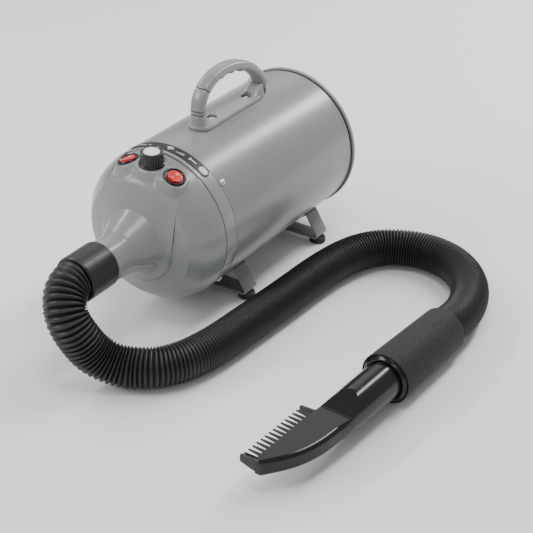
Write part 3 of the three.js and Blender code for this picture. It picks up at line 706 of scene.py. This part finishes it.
def boss_lift(point, place, radius):
    """How far a point of the panel moves to lie on a round boss or on the flare at its foot."""
    local = np.array(place.inverted() @ Vector(point))
    if local[2] < -15:
        return np.zeros(3)
    depth = max(0, -local[2])
    flare = 1.2 + min(0.75 * depth, 6)
    t = np.clip((math.hypot(local[0], local[1]) - radius) / flare, 0, 1)
    local[2] *= 1 - (1 - t) ** 2 * (1 + 1.5 * t) * (1 - smoothstep(6, 12, depth))
    return np.array(place @ Vector(local)) - point


def raised_onto_bosses(point, bosses):
    """The strongest lift wins, and two of equal strength run into each other softly."""
    lifts = np.array([boss_lift(point, place, radius) for place, radius in bosses])
    sizes = np.linalg.norm(lifts, axis=1) + 1e-6
    weights = sizes**4 / (sizes**4).sum()
    return point + weights @ lifts


def add_nose():
    """Control panel, bib, cone and spigot as one skin, with round bosses for the controls."""
    half = 60
    phis = np.linspace(-math.pi / 2, math.pi / 2, 2 * half + 1)
    bosses = [(TWIST.inverted() @ place, radius) for place, radius in BOSSES]
    verts = []
    panel = panel_outline()
    for r, y in panel:
        for phi in phis:
            x = NOSE_HALF_WIDTH * math.sin(phi)
            drop = rounding(NOSE_HALF_WIDTH - abs(x), 0.6)
            a = math.asin(np.clip(x / r, -1, 1))
            point = np.array(around(r, y, a))
            verts.append(raised_onto_bosses(point, bosses) + [0, drop, 0])
    faces = grid_faces(len(panel), len(phis))
    first = len(verts)
    cone = cone_outline()
    segments = 4 * half
    for r, y in cone:
        verts += [around(r, y, a - math.pi / 2) for a in full_circle(segments)]
    faces += shifted(grid_faces(len(cone), segments, wrap_columns=True), first)
    nose = make_mesh("nose_moulding", verts, faces, TWIST, sharp_degrees=38)
    solidify = nose.modifiers.new("wall", "SOLIDIFY")
    solidify.thickness = 2.2 * MM
    solidify.offset = -1
    finish_piece(nose, "cover_plastic", "control_nose")


def rounding(distance, radius):
    """How far a surface drops at that distance from an edge rounded to the radius."""
    if distance >= radius:
        return 0.0
    return radius - math.sqrt(max(0.0, radius**2 - (radius - distance) ** 2))


def add_spigot_lock():
    """The lug along the lower right of cone and spigot that keys the hose cuff."""
    stations = (
        (-106, 31.0, 2.2), (-112, 30.2, 2.4), (-128, 22.4, 2.6), (-131, 21.6, 2.2), (-150, 21.0, 1.0),
    )
    rings = []
    for y, r, height in stations:
        section = ((-4.4, -1.5), (-3.6, height), (3.6, height), (4.4, -1.5))
        rings.append([(x, y, r + z) for x, z in section])
    lug = capped("spigot_lug", rings, radial_place(118, 0, 0))
    bevel(lug, 0.8, 3, 30)
    finish_piece(lug, "cover_plastic")


def strip_point(arc_mm, y, r):
    """A point of the label strip: distance round the band, place along it, and radius."""
    return around(r, y, arc_mm / FILM_R)


FILM_R = BARREL_R + 0.8
LABEL_HALF = 49.2


def strip_patch(name, arc_from, arc_to, half_height, r0, r1, *nodes, material=None):
    """A flat patch on the band with round ends, between two distances round it."""
    ends = half_height
    turn = [math.pi / 2 * k / 8 for k in range(9)]
    stations = [arc_from + ends * (1 - math.cos(a)) for a in turn]
    stations += list(np.linspace(arc_from + ends, arc_to - ends, 42)[1:-1])
    stations += [arc_to - ends * (1 - math.sin(a)) for a in turn]
    rings = []
    for s in stations:
        short = max(0, ends - (s - arc_from), ends - (arc_to - s))
        h = max(0.05, math.sqrt(max(0, half_height**2 - short**2)))
        rings.append([strip_point(s, BAND_Y + y, r) for r, y in ((r0, -h), (r1, -h), (r1, h), (r0, h))])
    patch = capped(name, rings, TWIST, sharp_degrees=50)
    finish_piece(patch, "label", *nodes, material=material)


def flat_mark(name, outline):
    """A printed mark on the strip from an outline of (distance round, distance along) points."""
    levels = (BARREL_R + 0.7, BARREL_R + 0.92)
    mark = capped(name, [[strip_point(s, BAND_Y + y, r) for s, y in outline] for r in levels], TWIST)
    finish_piece(mark, "label", material=PRINT)


def arc_band(centre, radius, width, start, end, steps=10):
    """The outline of a thin arc, angles in degrees."""
    angles = np.radians(np.linspace(start, end, steps))
    points = [(radius + width, a) for a in angles] + [(radius, a) for a in angles[::-1]]
    return [(centre[0] + r * math.cos(a), centre[1] + r * math.sin(a)) for r, a in points]


def bar_mark(name, start, length, middle, width):
    """A straight printed bar: from a distance round the band, about a line along it."""
    low, high = middle - width / 2, middle + width / 2
    stations = np.linspace(start, start + length, 6)
    flat_mark(name, [(s, low) for s in stations] + [(s, high) for s in stations[::-1]])


def add_label():
    strip_patch("label_film", -LABEL_HALF, LABEL_HALF, 5.5, BARREL_R + 0.25, FILM_R, "label_strip")
    strip_patch("label_pill", 37.3, 47.4, 3.7, BARREL_R + 0.6, FILM_R + 0.15, material=PILL)
    for i in range(3):
        flat_mark(f"label_fan_{i + 1}", arc_band((0.4, -2.4), 1.5 + 1.5 * i, 0.7, 30, 140))
    flat_mark("label_fan_hub", arc_band((0.4, -2.4), 0, 0.8, 0, 330, 12))
    for i in range(5):
        height = 1 + 0.56 * i
        bar_mark(f"label_step_{i + 1}", 9.0 + 1.9 * i, 0.7, -2 + height / 2, height)
    bar_mark("label_bar", 24.6, 8.0, 0.3, 1.1)
    bar_mark("label_bar_end", 24.0, 0.9, 0.3, 3.6)
    for i, s in enumerate((-30.8, -28.2)):
        flat_mark(f"label_wave_{i + 1}", arc_band((s, -0.6), 1.5, 0.5, 200, 340))
    flat_mark("label_ring", arc_band((-36.5, 0), 1.6, 0.5, -60, 240, 14))
    bar_mark("label_dash", -24.4, 3.2, -1.6, 0.6)


add_cover_band()
add_cover_dome()
add_nose()
add_spigot_lock()
add_label()

# ------------------------------------------------------------------ knob, switches and screws


def add_knob():
    flutes = 30

    def fluting(a, r):
        on_side_wall = 11.0 < r < 11.75
        if not on_side_wall:
            return 0.0
        return -0.42 * (0.5 + 0.5 * math.cos(flutes * a)) ** 0.7

    corners = [
        (0.01, 0.3, 0), (12.6, 0.3, 0.3), (12.9, 0.9, 0.4), (12.7, 2.4, 0.9), (11.75, 3.2, 0.6),
        (11.6, 5, 0), (11.2, 12.6, 0), (10.6, 14.1, 1.0), (8.1, 14.2, 0.25), (8.1, 13.6, 0.2),
        (0.01, 13.6, 0),
    ]
    body = turned_up("knob_body", corners, KNOB_SEAT, 360, flute=fluting, steps=4, sharp_degrees=40)
    finish_piece(body, "black_plastic", "knob", body="knob")
    corners = [(0.01, 13.4, 0), (7.9, 13.4, 0.1), (7.9, 14.2, 0.3), (7.3, 14.45, 0.4), (0.01, 14.3, 0)]
    cap = turned_up("knob_disc", corners, KNOB_SEAT, 128)
    finish_piece(cap, "cap_silver", "knob_cap", body="knob")
    pointer = slab("knob_pointer", 0.35, (8.5, 10.2), (14.0, 14.32), KNOB_SEAT)
    finish_piece(pointer, "cap_silver", body="knob", material=PRINT)


ROCKER_R = 7.7
ROCKER_TILT = math.radians(8)


def rocker_height(x, y):
    """Two slopes that meet in a soft valley, with a rounded rim."""
    r = math.hypot(x, y)
    slope = 1.1 * (math.sqrt(y**2 + 0.8) - math.sqrt(0.8)) / ROCKER_R
    return 2.0 + slope - rounding(ROCKER_R - r, 0.7)


def rocker_mark(name, outline, place, body):
    """A white inlay on the rocker, from an outline in the rocker's own plane."""
    count = len(outline)
    verts = [(x, y, rocker_height(x, y) + lift) for lift in (-0.2, 0.06) for x, y in outline]
    faces = [(i, (i + 1) % count, count + (i + 1) % count, count + i) for i in range(count)]
    half = count // 2
    cap = [(i, i + 1, count - 2 - i, count - 1 - i) for i in range(half - 1)]
    faces += cap + shifted(cap, count)
    mark = make_mesh(name, verts, faces, place)
    finish_piece(mark, "switch_red", body=body, material=PRINT)


def add_switch(side, place):
    corners = [
        (8.75, -5, 0), (8.75, 1.3, 0.3), (9.3, 2.25, 0.3), (10.2, 2.35, 0.6), (11.1, 1.4, 0.5),
        (11.1, 0.28, 0.2), (9.8, 0.28, 0.2), (9.8, -13.5, 0.5), (0.01, -13.5, 0), (0.01, -5, 0),
    ]
    bezel = turned_up(f"{side}_switch_bezel", corners, place, 128, steps=4)
    finish_piece(bezel, "black_plastic", f"{side}_switch")
    tilted = place @ Matrix.Rotation(-ROCKER_TILT, 4, "X")
    body = f"{side}_rocker"
    rocker = rings_disc(f"{side}_rocker_button", ROCKER_R, rocker_height, tilted, 30, 96, 3.1)
    finish_piece(rocker, "switch_red", f"{side}_rocker", body=body)
    rocker_mark(f"{side}_rocker_off", arc_band((0, 3.9), 1.0, 0.5, 0, 352, 28), tilted, body)
    bar = [(-1.2, -4.2), (0, -4.2), (1.2, -4.2), (1.2, -3.75), (0, -3.75), (-1.2, -3.75)]
    rocker_mark(f"{side}_rocker_on", bar, tilted, body)


def pan_head(radius, height):
    """The height of a screw's domed head with a cross recess."""

    def level(x, y):
        r = math.hypot(x, y)
        dome = height * math.sqrt(max(0.0, 1 - (r / (radius * 1.02)) ** 2.6))
        reach = radius * 0.52
        slot = min(max(abs(x) - 0.35, abs(y) - reach), max(abs(y) - 0.35, abs(x) - reach))
        return dome - 0.95 * (1 - smoothstep(-0.15, 0.2, slot))

    return level


def add_screw(name, place, radius, height, node):
    head = rings_disc(name, radius, pan_head(radius, height), place, 26, 80, 0.25, sharp_degrees=50)
    finish_piece(head, "bright_steel", node)


def add_screws():
    for i, turn in enumerate((45, -45, 135, -135)):
        place = radial_place(turn, BARREL_R + 0.3, -37.5) @ Matrix.Rotation(0.5 + i, 4, "Z")
        add_screw(f"cover_screw_head_{i + 1}", place, 3.3, 1.9, f"cover_screw_{i + 1}")
    for (name, y), spin in zip(HANDLE_SCREW_Y.items(), (0.4, 1.1)):
        place = Matrix.Translation((0, y, 173.7)) @ Matrix.Rotation(spin, 4, "Z")
        add_screw(f"handle_screw_head_{name}", place, 4.0, 1.6, f"handle_screw_{name}")


add_knob()
for side, place in SWITCH_SEATS.items():
    add_switch(side, place)
add_screws()

# ------------------------------------------------------------------ handle

# the handle's middle line in Y and Z, from the front leg over the grip to the rear leg
ARCH = [
    (5.3, 187.4), (5.6, 196), (11, 207.4), (23.6, 216.3), (41.2, 220.6), (61.1, 219.5),
    (81.4, 213.3), (98.7, 202.9), (110.3, 190), (114.8, 179), (115, 173.8),
]
ARCH_LINE = smooth_line([(0, y, z) for y, z in ARCH], 1.0)
FINGER_CUSPS = (38.0, 56.5, 74.5)


def handle_section(y, z, tangent, half_width, half_depth, under):
    """A rounded rectangle across the arch; under is the share by which its lower side grows."""
    inward = np.array([0, tangent[2], -tangent[1]])
    if inward[2] > 0:
        inward = -inward
    points = []
    for a in full_circle(48):
        u, v = squarish(a, 2 / 2.9)
        if v > 0:
            v *= 1 + under
        points.append(np.array([half_width * u, y, z]) + inward * half_depth * v)
    return points


def finger_relief(y, z):
    """Share by which the grip's underside stands out at the cusps and dips between them."""
    if z < 204 or not 22 < y < 92:
        return 0.0
    nearest = min(abs(y - cusp) for cusp in FINGER_CUSPS)
    fade = smoothstep(22, 32, y) * (1 - smoothstep(80, 92, y))
    return fade * (0.32 * math.exp(-((nearest / 2.6) ** 2)) - 0.1)


def arch_stretch(name, keep, half_width, half_depth, end_swell=0.0):
    """The part of the arch for which keep(y, z) holds, as one lofted piece with soft ends."""
    tangents = unit_tangents(ARCH_LINE)
    chosen = [i for i, p in enumerate(ARCH_LINE) if keep(p[1], p[2])]
    sections = []
    for order, i in enumerate(chosen):
        y, z = ARCH_LINE[i][1:]
        left = min(order, len(chosen) - 1 - order)
        swell = end_swell * (1 - smoothstep(2.5, 4.5, len(chosen) - 1 - order))
        soften = 0.35 if left == 0 else 0.0
        under = finger_relief(y, z)
        w, d = half_width + swell - soften, half_depth + swell - soften
        sections.append(handle_section(y, z, tangents[i], w, d, under))
    return capped(name, sections, sharp_degrees=45)


def above_rear_seam(y, z):
    """Whether a point of the arch lies on the grip's side of its slanted joint with the rear leg."""
    return z > 184.6 - 0.466 * (y - 110.5)


def on_grip(y, z):
    return z > 210 if y < 40 else above_rear_seam(y, z)


def add_handle():
    size = (7.9, 5.4)
    front = arch_stretch("handle_leg_front", lambda y, z: y < 40 and z < 209.6, *size)
    finish_piece(front, "cover_plastic", "handle_loop")
    rear = arch_stretch("handle_leg_rear", lambda y, z: y > 90 and not above_rear_seam(y, z), 6.9, 3.4)
    finish_piece(rear, "cover_plastic")
    grip = arch_stretch("handle_grip_shell", on_grip, *size, 0.7)
    finish_piece(grip, "cover_plastic", "handle_grip")


def stadium(half_width, front, rear, z):
    """A round-ended outline in the plane of the deck, at one height."""
    points = []
    for start, middle in ((math.pi, front + half_width), (0, rear - half_width)):
        for a in np.linspace(start, start + math.pi, 15):
            points.append((half_width * math.cos(a), middle + half_width * math.sin(a), z))
    return points


def squarish(a, power):
    """Cosine and sine of an angle, bent from a circle towards a square."""
    return [math.copysign(abs(v) ** power, v) for v in (math.cos(a), math.sin(a))]


def oval(half_x, half_y, centre_y, z):
    ring = [squarish(a, 0.72) for a in full_circle(40)]
    return [(half_x * u, centre_y + half_y * v, z) for u, v in ring]


def add_handle_base():
    """A boat-shaped foot with a flat deck, a raised block under each leg and two bores."""
    base = capped("handle_deck", [stadium(14.0, -4.6, 109, 165), stadium(12.5, -3.4, 108, BASE_TOP)])
    front_block = [
        (10.6, 8.0, 5.6, 171), (9.0, 6.8, 5.4, 177.5), (8.3, 6.0, 5.3, 183), (7.9, 5.6, 5.3, 187.1),
    ]
    rear_block = [
        (12.4, 10.0, 98.6, 171), (12.0, 9.4, 99.4, 176.4),
        (10.2, 7.0, 102.4, 181), (8.2, 4.4, 105.6, 184.6),
    ]
    for block in (front_block, rear_block):
        combine(base, capped("block", [oval(*row) for row in block]), "UNION")
    for y in HANDLE_SCREW_Y.values():
        cut_round(base, 5.2, (0, y, 182), 20, (0, 0, 1))
    belly_r = BARREL_R + GAP
    belly = [(0.01, -40, 0), (belly_r, -40, 0), (belly_r, 140, 0), (0.01, 140, 0)]
    combine(base, turned("cutter", belly, 256))
    remesh = base.modifiers.new("remesh", "REMESH")
    remesh.mode = "VOXEL"
    remesh.voxel_size = 0.5 * MM
    remesh.use_smooth_shade = True
    smooth = base.modifiers.new("soften", "SMOOTH")
    smooth.factor = 0.5
    smooth.iterations = 4
    apply_modifiers(base)
    finish_piece(base, "cover_plastic", "handle_base")


add_handle()
add_handle_base()

# ------------------------------------------------------------------ strap feet


STRAP_HALF_THICKNESS = 1.0
STRAP_HALF_WIDTH = 10.0


def strap_line():
    """The strap's middle line in X and Z: round the belly, down the legs, along the floor bar."""
    saddle_r = BARREL_R + GAP + STRAP_HALF_THICKNESS
    hip_x, toe_x, bar_z = 50.6, 66.6, 7.4
    hip = math.asin(hip_x / saddle_r)
    hip_z = AXIS_Z - saddle_r * math.cos(hip)
    corners = [(hip_x, hip_z, 1.6), (toe_x, bar_z, 3.0), (-toe_x, bar_z, 3.0), (-hip_x, hip_z, 1.6)]
    for a in np.linspace(-hip, hip, 41)[1:-1]:
        corners.append((saddle_r * math.sin(a), AXIS_Z - saddle_r * math.cos(a), 0))
    return rounded(corners, 6)


def add_bracket(name, centre_y):
    line = strap_line()
    ahead, behind = np.roll(line, -1, axis=0), np.roll(line, 1, axis=0)
    tangent = ahead - behind
    tangent /= np.linalg.norm(tangent, axis=1)[:, None]
    normal = np.stack([tangent[:, 1], -tangent[:, 0]], axis=1)
    t, w = STRAP_HALF_THICKNESS, STRAP_HALF_WIDTH
    section = rounded([(-t, -w, 0.5), (t, -w, 0.5), (t, w, 0.5), (-t, w, 0.5)], 3)
    verts = []
    for (x, z), (nx, nz) in zip(line, normal):
        verts += [(x + nx * u, centre_y + v, z + nz * u) for u, v in section]
    faces = grid_faces(len(line), len(section), wrap_rows=True, wrap_columns=True)
    strap = make_mesh(f"{name}_strap", verts, faces)
    finish_piece(strap, "bracket_steel", f"{name}_foot_bracket")


def add_rubber_foot(name, x, y):
    corners = [
        (0.01, 0, 0), (7.9, 0, 0.6), (9, 0.9, 0.5), (8.9, 3.0, 0.6), (8.4, 3.4, 0.4), (8.5, 5.7, 0.7),
        (2.1, 5.7, 0.2), (2.1, 9.4, 0.8), (0.01, 9.4, 0),
    ]
    foot = turned_up(f"{name}_pad", corners, Matrix.Translation((x, y, 0)), 64)
    finish_piece(foot, "black_rubber", name)


for name in ("front", "rear"):
    low, high = box_mm(f"{name}_foot_bracket")
    add_bracket(name, (low[1] + high[1]) / 2)
    for side in ("left", "right"):
        node = f"rubber_foot_{name}_{side}"
        low, high = box_mm(node)
        add_rubber_foot(node, (low[0] + high[0]) / 2, (low[1] + high[1]) / 2)

# ------------------------------------------------------------------ hose


def hose_pitch(s):
    """Ring spacing along the hose in millimetres: stretched at the first bend, then closed up."""
    opened = 4.6 + (3.15 - 4.6) * smoothstep(90, 210, s)
    return opened + 0.5 * smoothstep(330, 420, s) - 0.3 * smoothstep(620, 700, s)


def hose_radius(s):
    """Radius of the ring crests, a little more where the hose is stretched."""
    return HOSE_R + 1.0 * (1 - smoothstep(60, 170, s))


def depth_at(s):
    """Depth of the valleys between the rings."""
    return 2.0 + 1.3 * (1 - smoothstep(60, 180, s))


def ring_profile(phase):
    """Height of the corrugation over its phase: round crests and narrow valleys, 0 to 1."""
    wave = 0.5 + 0.5 * math.cos(2 * math.pi * phase)
    return wave**0.62


def add_hose():
    line = smooth_line(np.array(HOSE_ROUTE) / MM, 0.5)
    length = 0.5 * (len(line) - 1)
    steps_per_turn = 10
    stations, s = [0.0], 0.0
    while s < length:
        s += hose_pitch(s) / steps_per_turn
        stations.append(min(s, length))
    columns = 64
    offsets = np.arange(columns) / columns * steps_per_turn
    normals, binormals = parallel_frames(line)
    grid = np.linspace(0, length, len(line))

    def at(values, where):
        return np.stack([np.interp(where, grid, values[:, k]) for k in range(3)], axis=1)

    rows = len(stations)
    index = np.arange(rows, dtype=float)
    verts = np.zeros((rows, columns, 3))
    heights = np.array([ring_profile(k / steps_per_turn) for k in range(rows)])
    for j in range(columns):
        where = np.interp(index - offsets[j], index, stations)
        radii = hose_radius(where) - depth_at(where) * (1 - heights)
        a = 2 * math.pi * j / columns
        centre, n, b = at(line, where), at(normals, where), at(binormals, where)
        verts[:, j] = centre + radii[:, None] * (math.cos(a) * n + math.sin(a) * b)
    verts[:, :, 2] = np.maximum(verts[:, :, 2], 0.15)
    faces = grid_faces(rows, columns)
    for i in range(rows - 1 - steps_per_turn):
        last = i * columns + columns - 1
        next_turn = (i + steps_per_turn) * columns
        faces.append((last, last + columns, next_turn + columns, next_turn))
    hose = make_mesh("hose_corrugated", verts.reshape(-1, 3), faces, sharp_degrees=80)
    finish_piece(hose, "hose_plastic", "hose_tube")
    return hose, line[::6], length


def add_cuff():
    corners = [
        (21.3, CUFF_BACK, 0.3), (22.4, CUFF_BACK, 0.4), (CUFF_R, CUFF_BACK - 1.2, 0.8),
        (CUFF_R, CUFF_FRONT + 2.0, 1.0), (22.3, CUFF_FRONT, 0.7), (17.5, CUFF_FRONT, 0.4),
        (17.5, -181, 0), (21.3, -181, 0),
    ]

    def seam(a, r):
        if r < 22:
            return 0.0
        near = min(abs(math.remainder(a - math.radians(c), 2 * math.pi)) for c in (25, 205))
        return 0.28 * math.exp(-((near / 0.018) ** 2)) - 0.12 * math.exp(-((near / 0.05) ** 2))

    cuff = turned("hose_collar", corners, 512, flute=seam)
    return finish_piece(cuff, "black_plastic", "hose_cuff", material=SATIN)


WAND = Matrix.Translation(MOUTH) @ Matrix.Rotation(WAND_TURN, 4, "Z")


def add_sleeve():
    corners = [
        (24.3, 0.6, 0.3), (24.8, 0, 0.4), (25.4, 0.9, 0.8), (23.25, SLEEVE_LENGTH - 1.6, 1.4),
        (22, SLEEVE_LENGTH, 0.9), (20.4, SLEEVE_LENGTH, 0.6), (20.4, 54, 0.5), (22.6, 52, 0.5),
        (22.6, 6, 1.0),
    ]
    sleeve = turned("grip_sleeve_foam", corners, 160, WAND)
    return finish_piece(sleeve, "sleeve_foam", "grip_sleeve")


def add_socket():
    corners = [
        (19.4, -2.4, 0.3), (21.2, -2.2, 1.0), (23.7, 0.2, 1.2), (23.7, 2.6, 0.5), (22.1, 5.6, 0.8),
        (22.1, 51, 0.4), (19.4, 51, 0.4),
    ]
    socket = turned("hose_end_socket", corners, 128, WAND)
    return finish_piece(socket, "black_plastic", "hose_end_cuff")


hose, hose_line, hose_length = add_hose()
cuff = add_cuff()
sleeve = add_sleeve()
socket = add_socket()

# ------------------------------------------------------------------ comb nozzle

# The nozzle is drawn in the sleeve's frame: its own Y runs back into the sleeve, and s is
# the distance forward from the mouth.
NOZZLE_START = -34.0
TUBE_R = 19.0
BORE_R = 16.8
BLADE_TOP = 9.2
BLADE_BOTTOM = -5.6
RAMP_START = 52.0
CREASE = 78.6
TIP = 171.0
LEFT_WALL = -17.2
FLAT_POINTS = 25
BODY_POINTS = 120


def right_edge(s):
    """X of the blade's curved right-hand side."""
    t = np.clip((s - 96) / (TIP - 96), 0, 1)
    return 15.4 - 2.2 * t - 25.0 * t**2.6


def tube_radius(s):
    return TUBE_R - 0.9 * smoothstep(30, 90, s)


def ramp_height(s):
    t = np.clip((s - RAMP_START) / (CREASE - RAMP_START), 0, 1)
    top = tube_radius(RAMP_START)
    return top + (BLADE_TOP - top) * t


def tube_body(s):
    """The section's outline below the flat top, from its right end round to its left end."""
    r = tube_radius(s)
    h = min(ramp_height(s), r * 0.985) if s > RAMP_START else r * 0.985
    start = math.asin(h / r)
    angles = np.linspace(start, -math.pi - start, 181)
    return np.stack([r * np.cos(angles), r * np.sin(angles)], axis=1)


def blade_body(s):
    right = right_edge(s)
    width = right - LEFT_WALL
    lip = min(3.0, width * 0.25)
    groove = LEFT_WALL + min(4.5, width * 0.3)
    floor = BLADE_BOTTOM - 0.6
    corners = [
        (right - lip - 0.01, BLADE_TOP, 0), (right - lip, BLADE_TOP, 0),
        (right - lip * 0.5, BLADE_TOP - 0.5, 0.6), (right + 0.6, BLADE_TOP - 3.4, 3.0),
        (right + 1.0, floor, min(2.4, width * 0.2)), (LEFT_WALL, floor, min(1.2, width * 0.1)),
        (LEFT_WALL, -1.2, 0.4), (groove, -1.2, 0.3), (groove, 3.4, 0.3), (LEFT_WALL, 3.4, 0.4),
        (LEFT_WALL, BLADE_TOP, 0),
    ]
    return rounded(corners)


def nozzle_section(s):
    """Flat top from left to right, then the body's outline back to the left."""
    w = smoothstep(CREASE - 4, CREASE + 22, s)
    body = (1 - w) * resample(tube_body(s), BODY_POINTS) + w * resample(blade_body(max(s, 90)), BODY_POINTS)
    top = min(ramp_height(s), tube_radius(s) * 0.985) if s < CREASE else BLADE_TOP
    top += 0.4 * math.exp(-(((s - CREASE) / 0.6) ** 2))
    body[0][1] = body[-1][1] = top
    flat = [body[-1] + (body[0] - body[-1]) * k / (FLAT_POINTS + 1) for k in range(1, FLAT_POINTS + 1)]
    if s <= RAMP_START:
        r = tube_radius(s)
        flat = [p * r / np.linalg.norm(p) for p in flat]
    return np.vstack([flat, body])


def nozzle_stations():
    """Distances along the nozzle, closer together where its shape changes."""
    spans = (
        (NOZZLE_START, RAMP_START, 24), (RAMP_START, CREASE - 1.5, 26), (CREASE - 1.5, CREASE + 1.5, 13),
        (CREASE + 1.5, 108, 28), (108, TIP, 50),
    )
    stations = [NOZZLE_START]
    for start, end, count in spans:
        stations += list(np.linspace(start, end, count)[1:])
    return stations


def wand_points(section, s):
    """A section's (x, z) points at that distance from the mouth, in the sleeve's frame."""
    return [(x, -s, z) for x, z in section]


def add_nozzle():
    rings = []
    angles = [math.atan2(z, x) for x, z in nozzle_section(NOZZLE_START)]
    bore = [(BORE_R * math.cos(a), BORE_R * math.sin(a)) for a in angles]
    for s in (10, NOZZLE_START + 0.4):
        rings.append(wand_points(bore, s))
    for s in nozzle_stations():
        rings.append(wand_points(nozzle_section(s), s))
    last = nozzle_section(TIP)
    middle = last.mean(axis=0)
    for shrink, ahead in ((0.97, 0.6), (0.9, 1.1), (0.7, 1.4)):
        section = middle + (last - middle) * [1 - (1 - shrink) * 0.6, shrink]
        rings.append(wand_points(section, TIP + ahead))
    shell = capped("nozzle_shell", rings, WAND, sharp_degrees=16)
    finish_piece(shell, "black_plastic", "nozzle", body="nozzle")


def tooth(name, s, half_thickness, tip, root):
    """One comb tooth: tall at the root, low at the tip; both given as (bottom, top)."""
    root_x, tip_x = -15.5, -34.4
    side = [
        (root_x, root[1]), (-20, root[1] - 0.8), (tip_x + 1.2, tip[1] + 0.5), (tip_x, tip[1] - 0.6),
        (tip_x + 0.3, tip[0]), (-24, 0.4 * tip[0] + 0.6 * root[0]), (root_x, root[0]),
    ]
    rings = []
    for sign in (-1, 1):
        taper = [1 - 0.4 * (root_x - x) / (root_x - tip_x) for x, z in side]
        rings.append([(x, -s + sign * half_thickness * t, z) for (x, z), t in zip(side, taper)])
    made = capped(name, rings, WAND)
    bevel(made, 0.35, 2, 30)
    finish_piece(made, "black_plastic", body="nozzle")


def add_comb():
    pitch = 5.7
    first = 84.4
    for i in range(1, 15):
        tooth(f"comb_tooth_{i:02d}", first + i * pitch, 0.62, (2.1, 3.8), (0.4, 6.0))
    post = ((-2.4, 5.0), (BLADE_BOTTOM, 7.2))
    tooth("comb_post_rear", first, 1.7, *post)
    tooth("comb_post_front", first + 15 * pitch - 0.8, 1.9, *post)


add_nozzle()
add_comb()

# ------------------------------------------------------------------ room and light


def add_floor():
    bpy.ops.mesh.primitive_plane_add(size=30, location=(0, 0, -0.0004))
    floor = bpy.context.object
    floor.name = "floor"
    s = Shader("pale_floor", (0.86, 0.865, 0.87), 0.7)
    s.vary_color(s.noise(3, 3), 0.99, 1.0)
    floor.data.materials.append(s.material)


def add_area_light(name, location, target, width, length, power, along=(0, 0, 1)):
    """A rectangular light facing its target, with its long side lying along a direction."""
    data = bpy.data.lights.new(name, "AREA")
    data.energy = power
    data.shape = "RECTANGLE"
    data.size = width
    data.size_y = length
    away = (Vector(location) - Vector(target)).normalized()
    across = Vector(along).cross(away).normalized()
    turn = Matrix((across, away.cross(across), away)).transposed().to_4x4()
    light = bpy.data.objects.new(name, data)
    light.matrix_world = Matrix.Translation(location) @ turn
    bpy.context.scene.collection.objects.link(light)


def add_world():
    world = bpy.data.worlds.new("studio")
    world.use_nodes = True
    background = world.node_tree.nodes["Background"]
    background.inputs["Color"].default_value = (0.98, 0.99, 1, 1)
    background.inputs["Strength"].default_value = 0.48
    bpy.context.scene.world = world


add_floor()
add_world()
# a strip lying along the barrel for its long highlight, and soft panels round about
add_area_light("strip", (0.36, 1.12, 1.14), (0, 0.06, 0.1), 0.24, 1.7, 23, along=(0, 1, 0))
add_area_light("left_strip", (-1.15, -0.1, 1.2), (0, -0.1, 0.1), 0.16, 1.2, 9, along=(0, 1, 0))
add_area_light("top_panel", (0.3, -0.35, 1.7), (0, -0.1, 0.1), 0.5, 0.5, 8)
add_area_light("left_panel", (-1.3, -1.5, 1.3), (0, -0.1, 0.1), 0.9, 0.9, 20)
add_area_light("front_panel", (0.6, -2.2, 1.5), (0.1, -0.1, 0.05), 0.8, 0.8, 5)
add_area_light("back_panel", (-1.1, 1.4, 1.5), (0.1, 0, 0), 1.4, 1.4, 6)
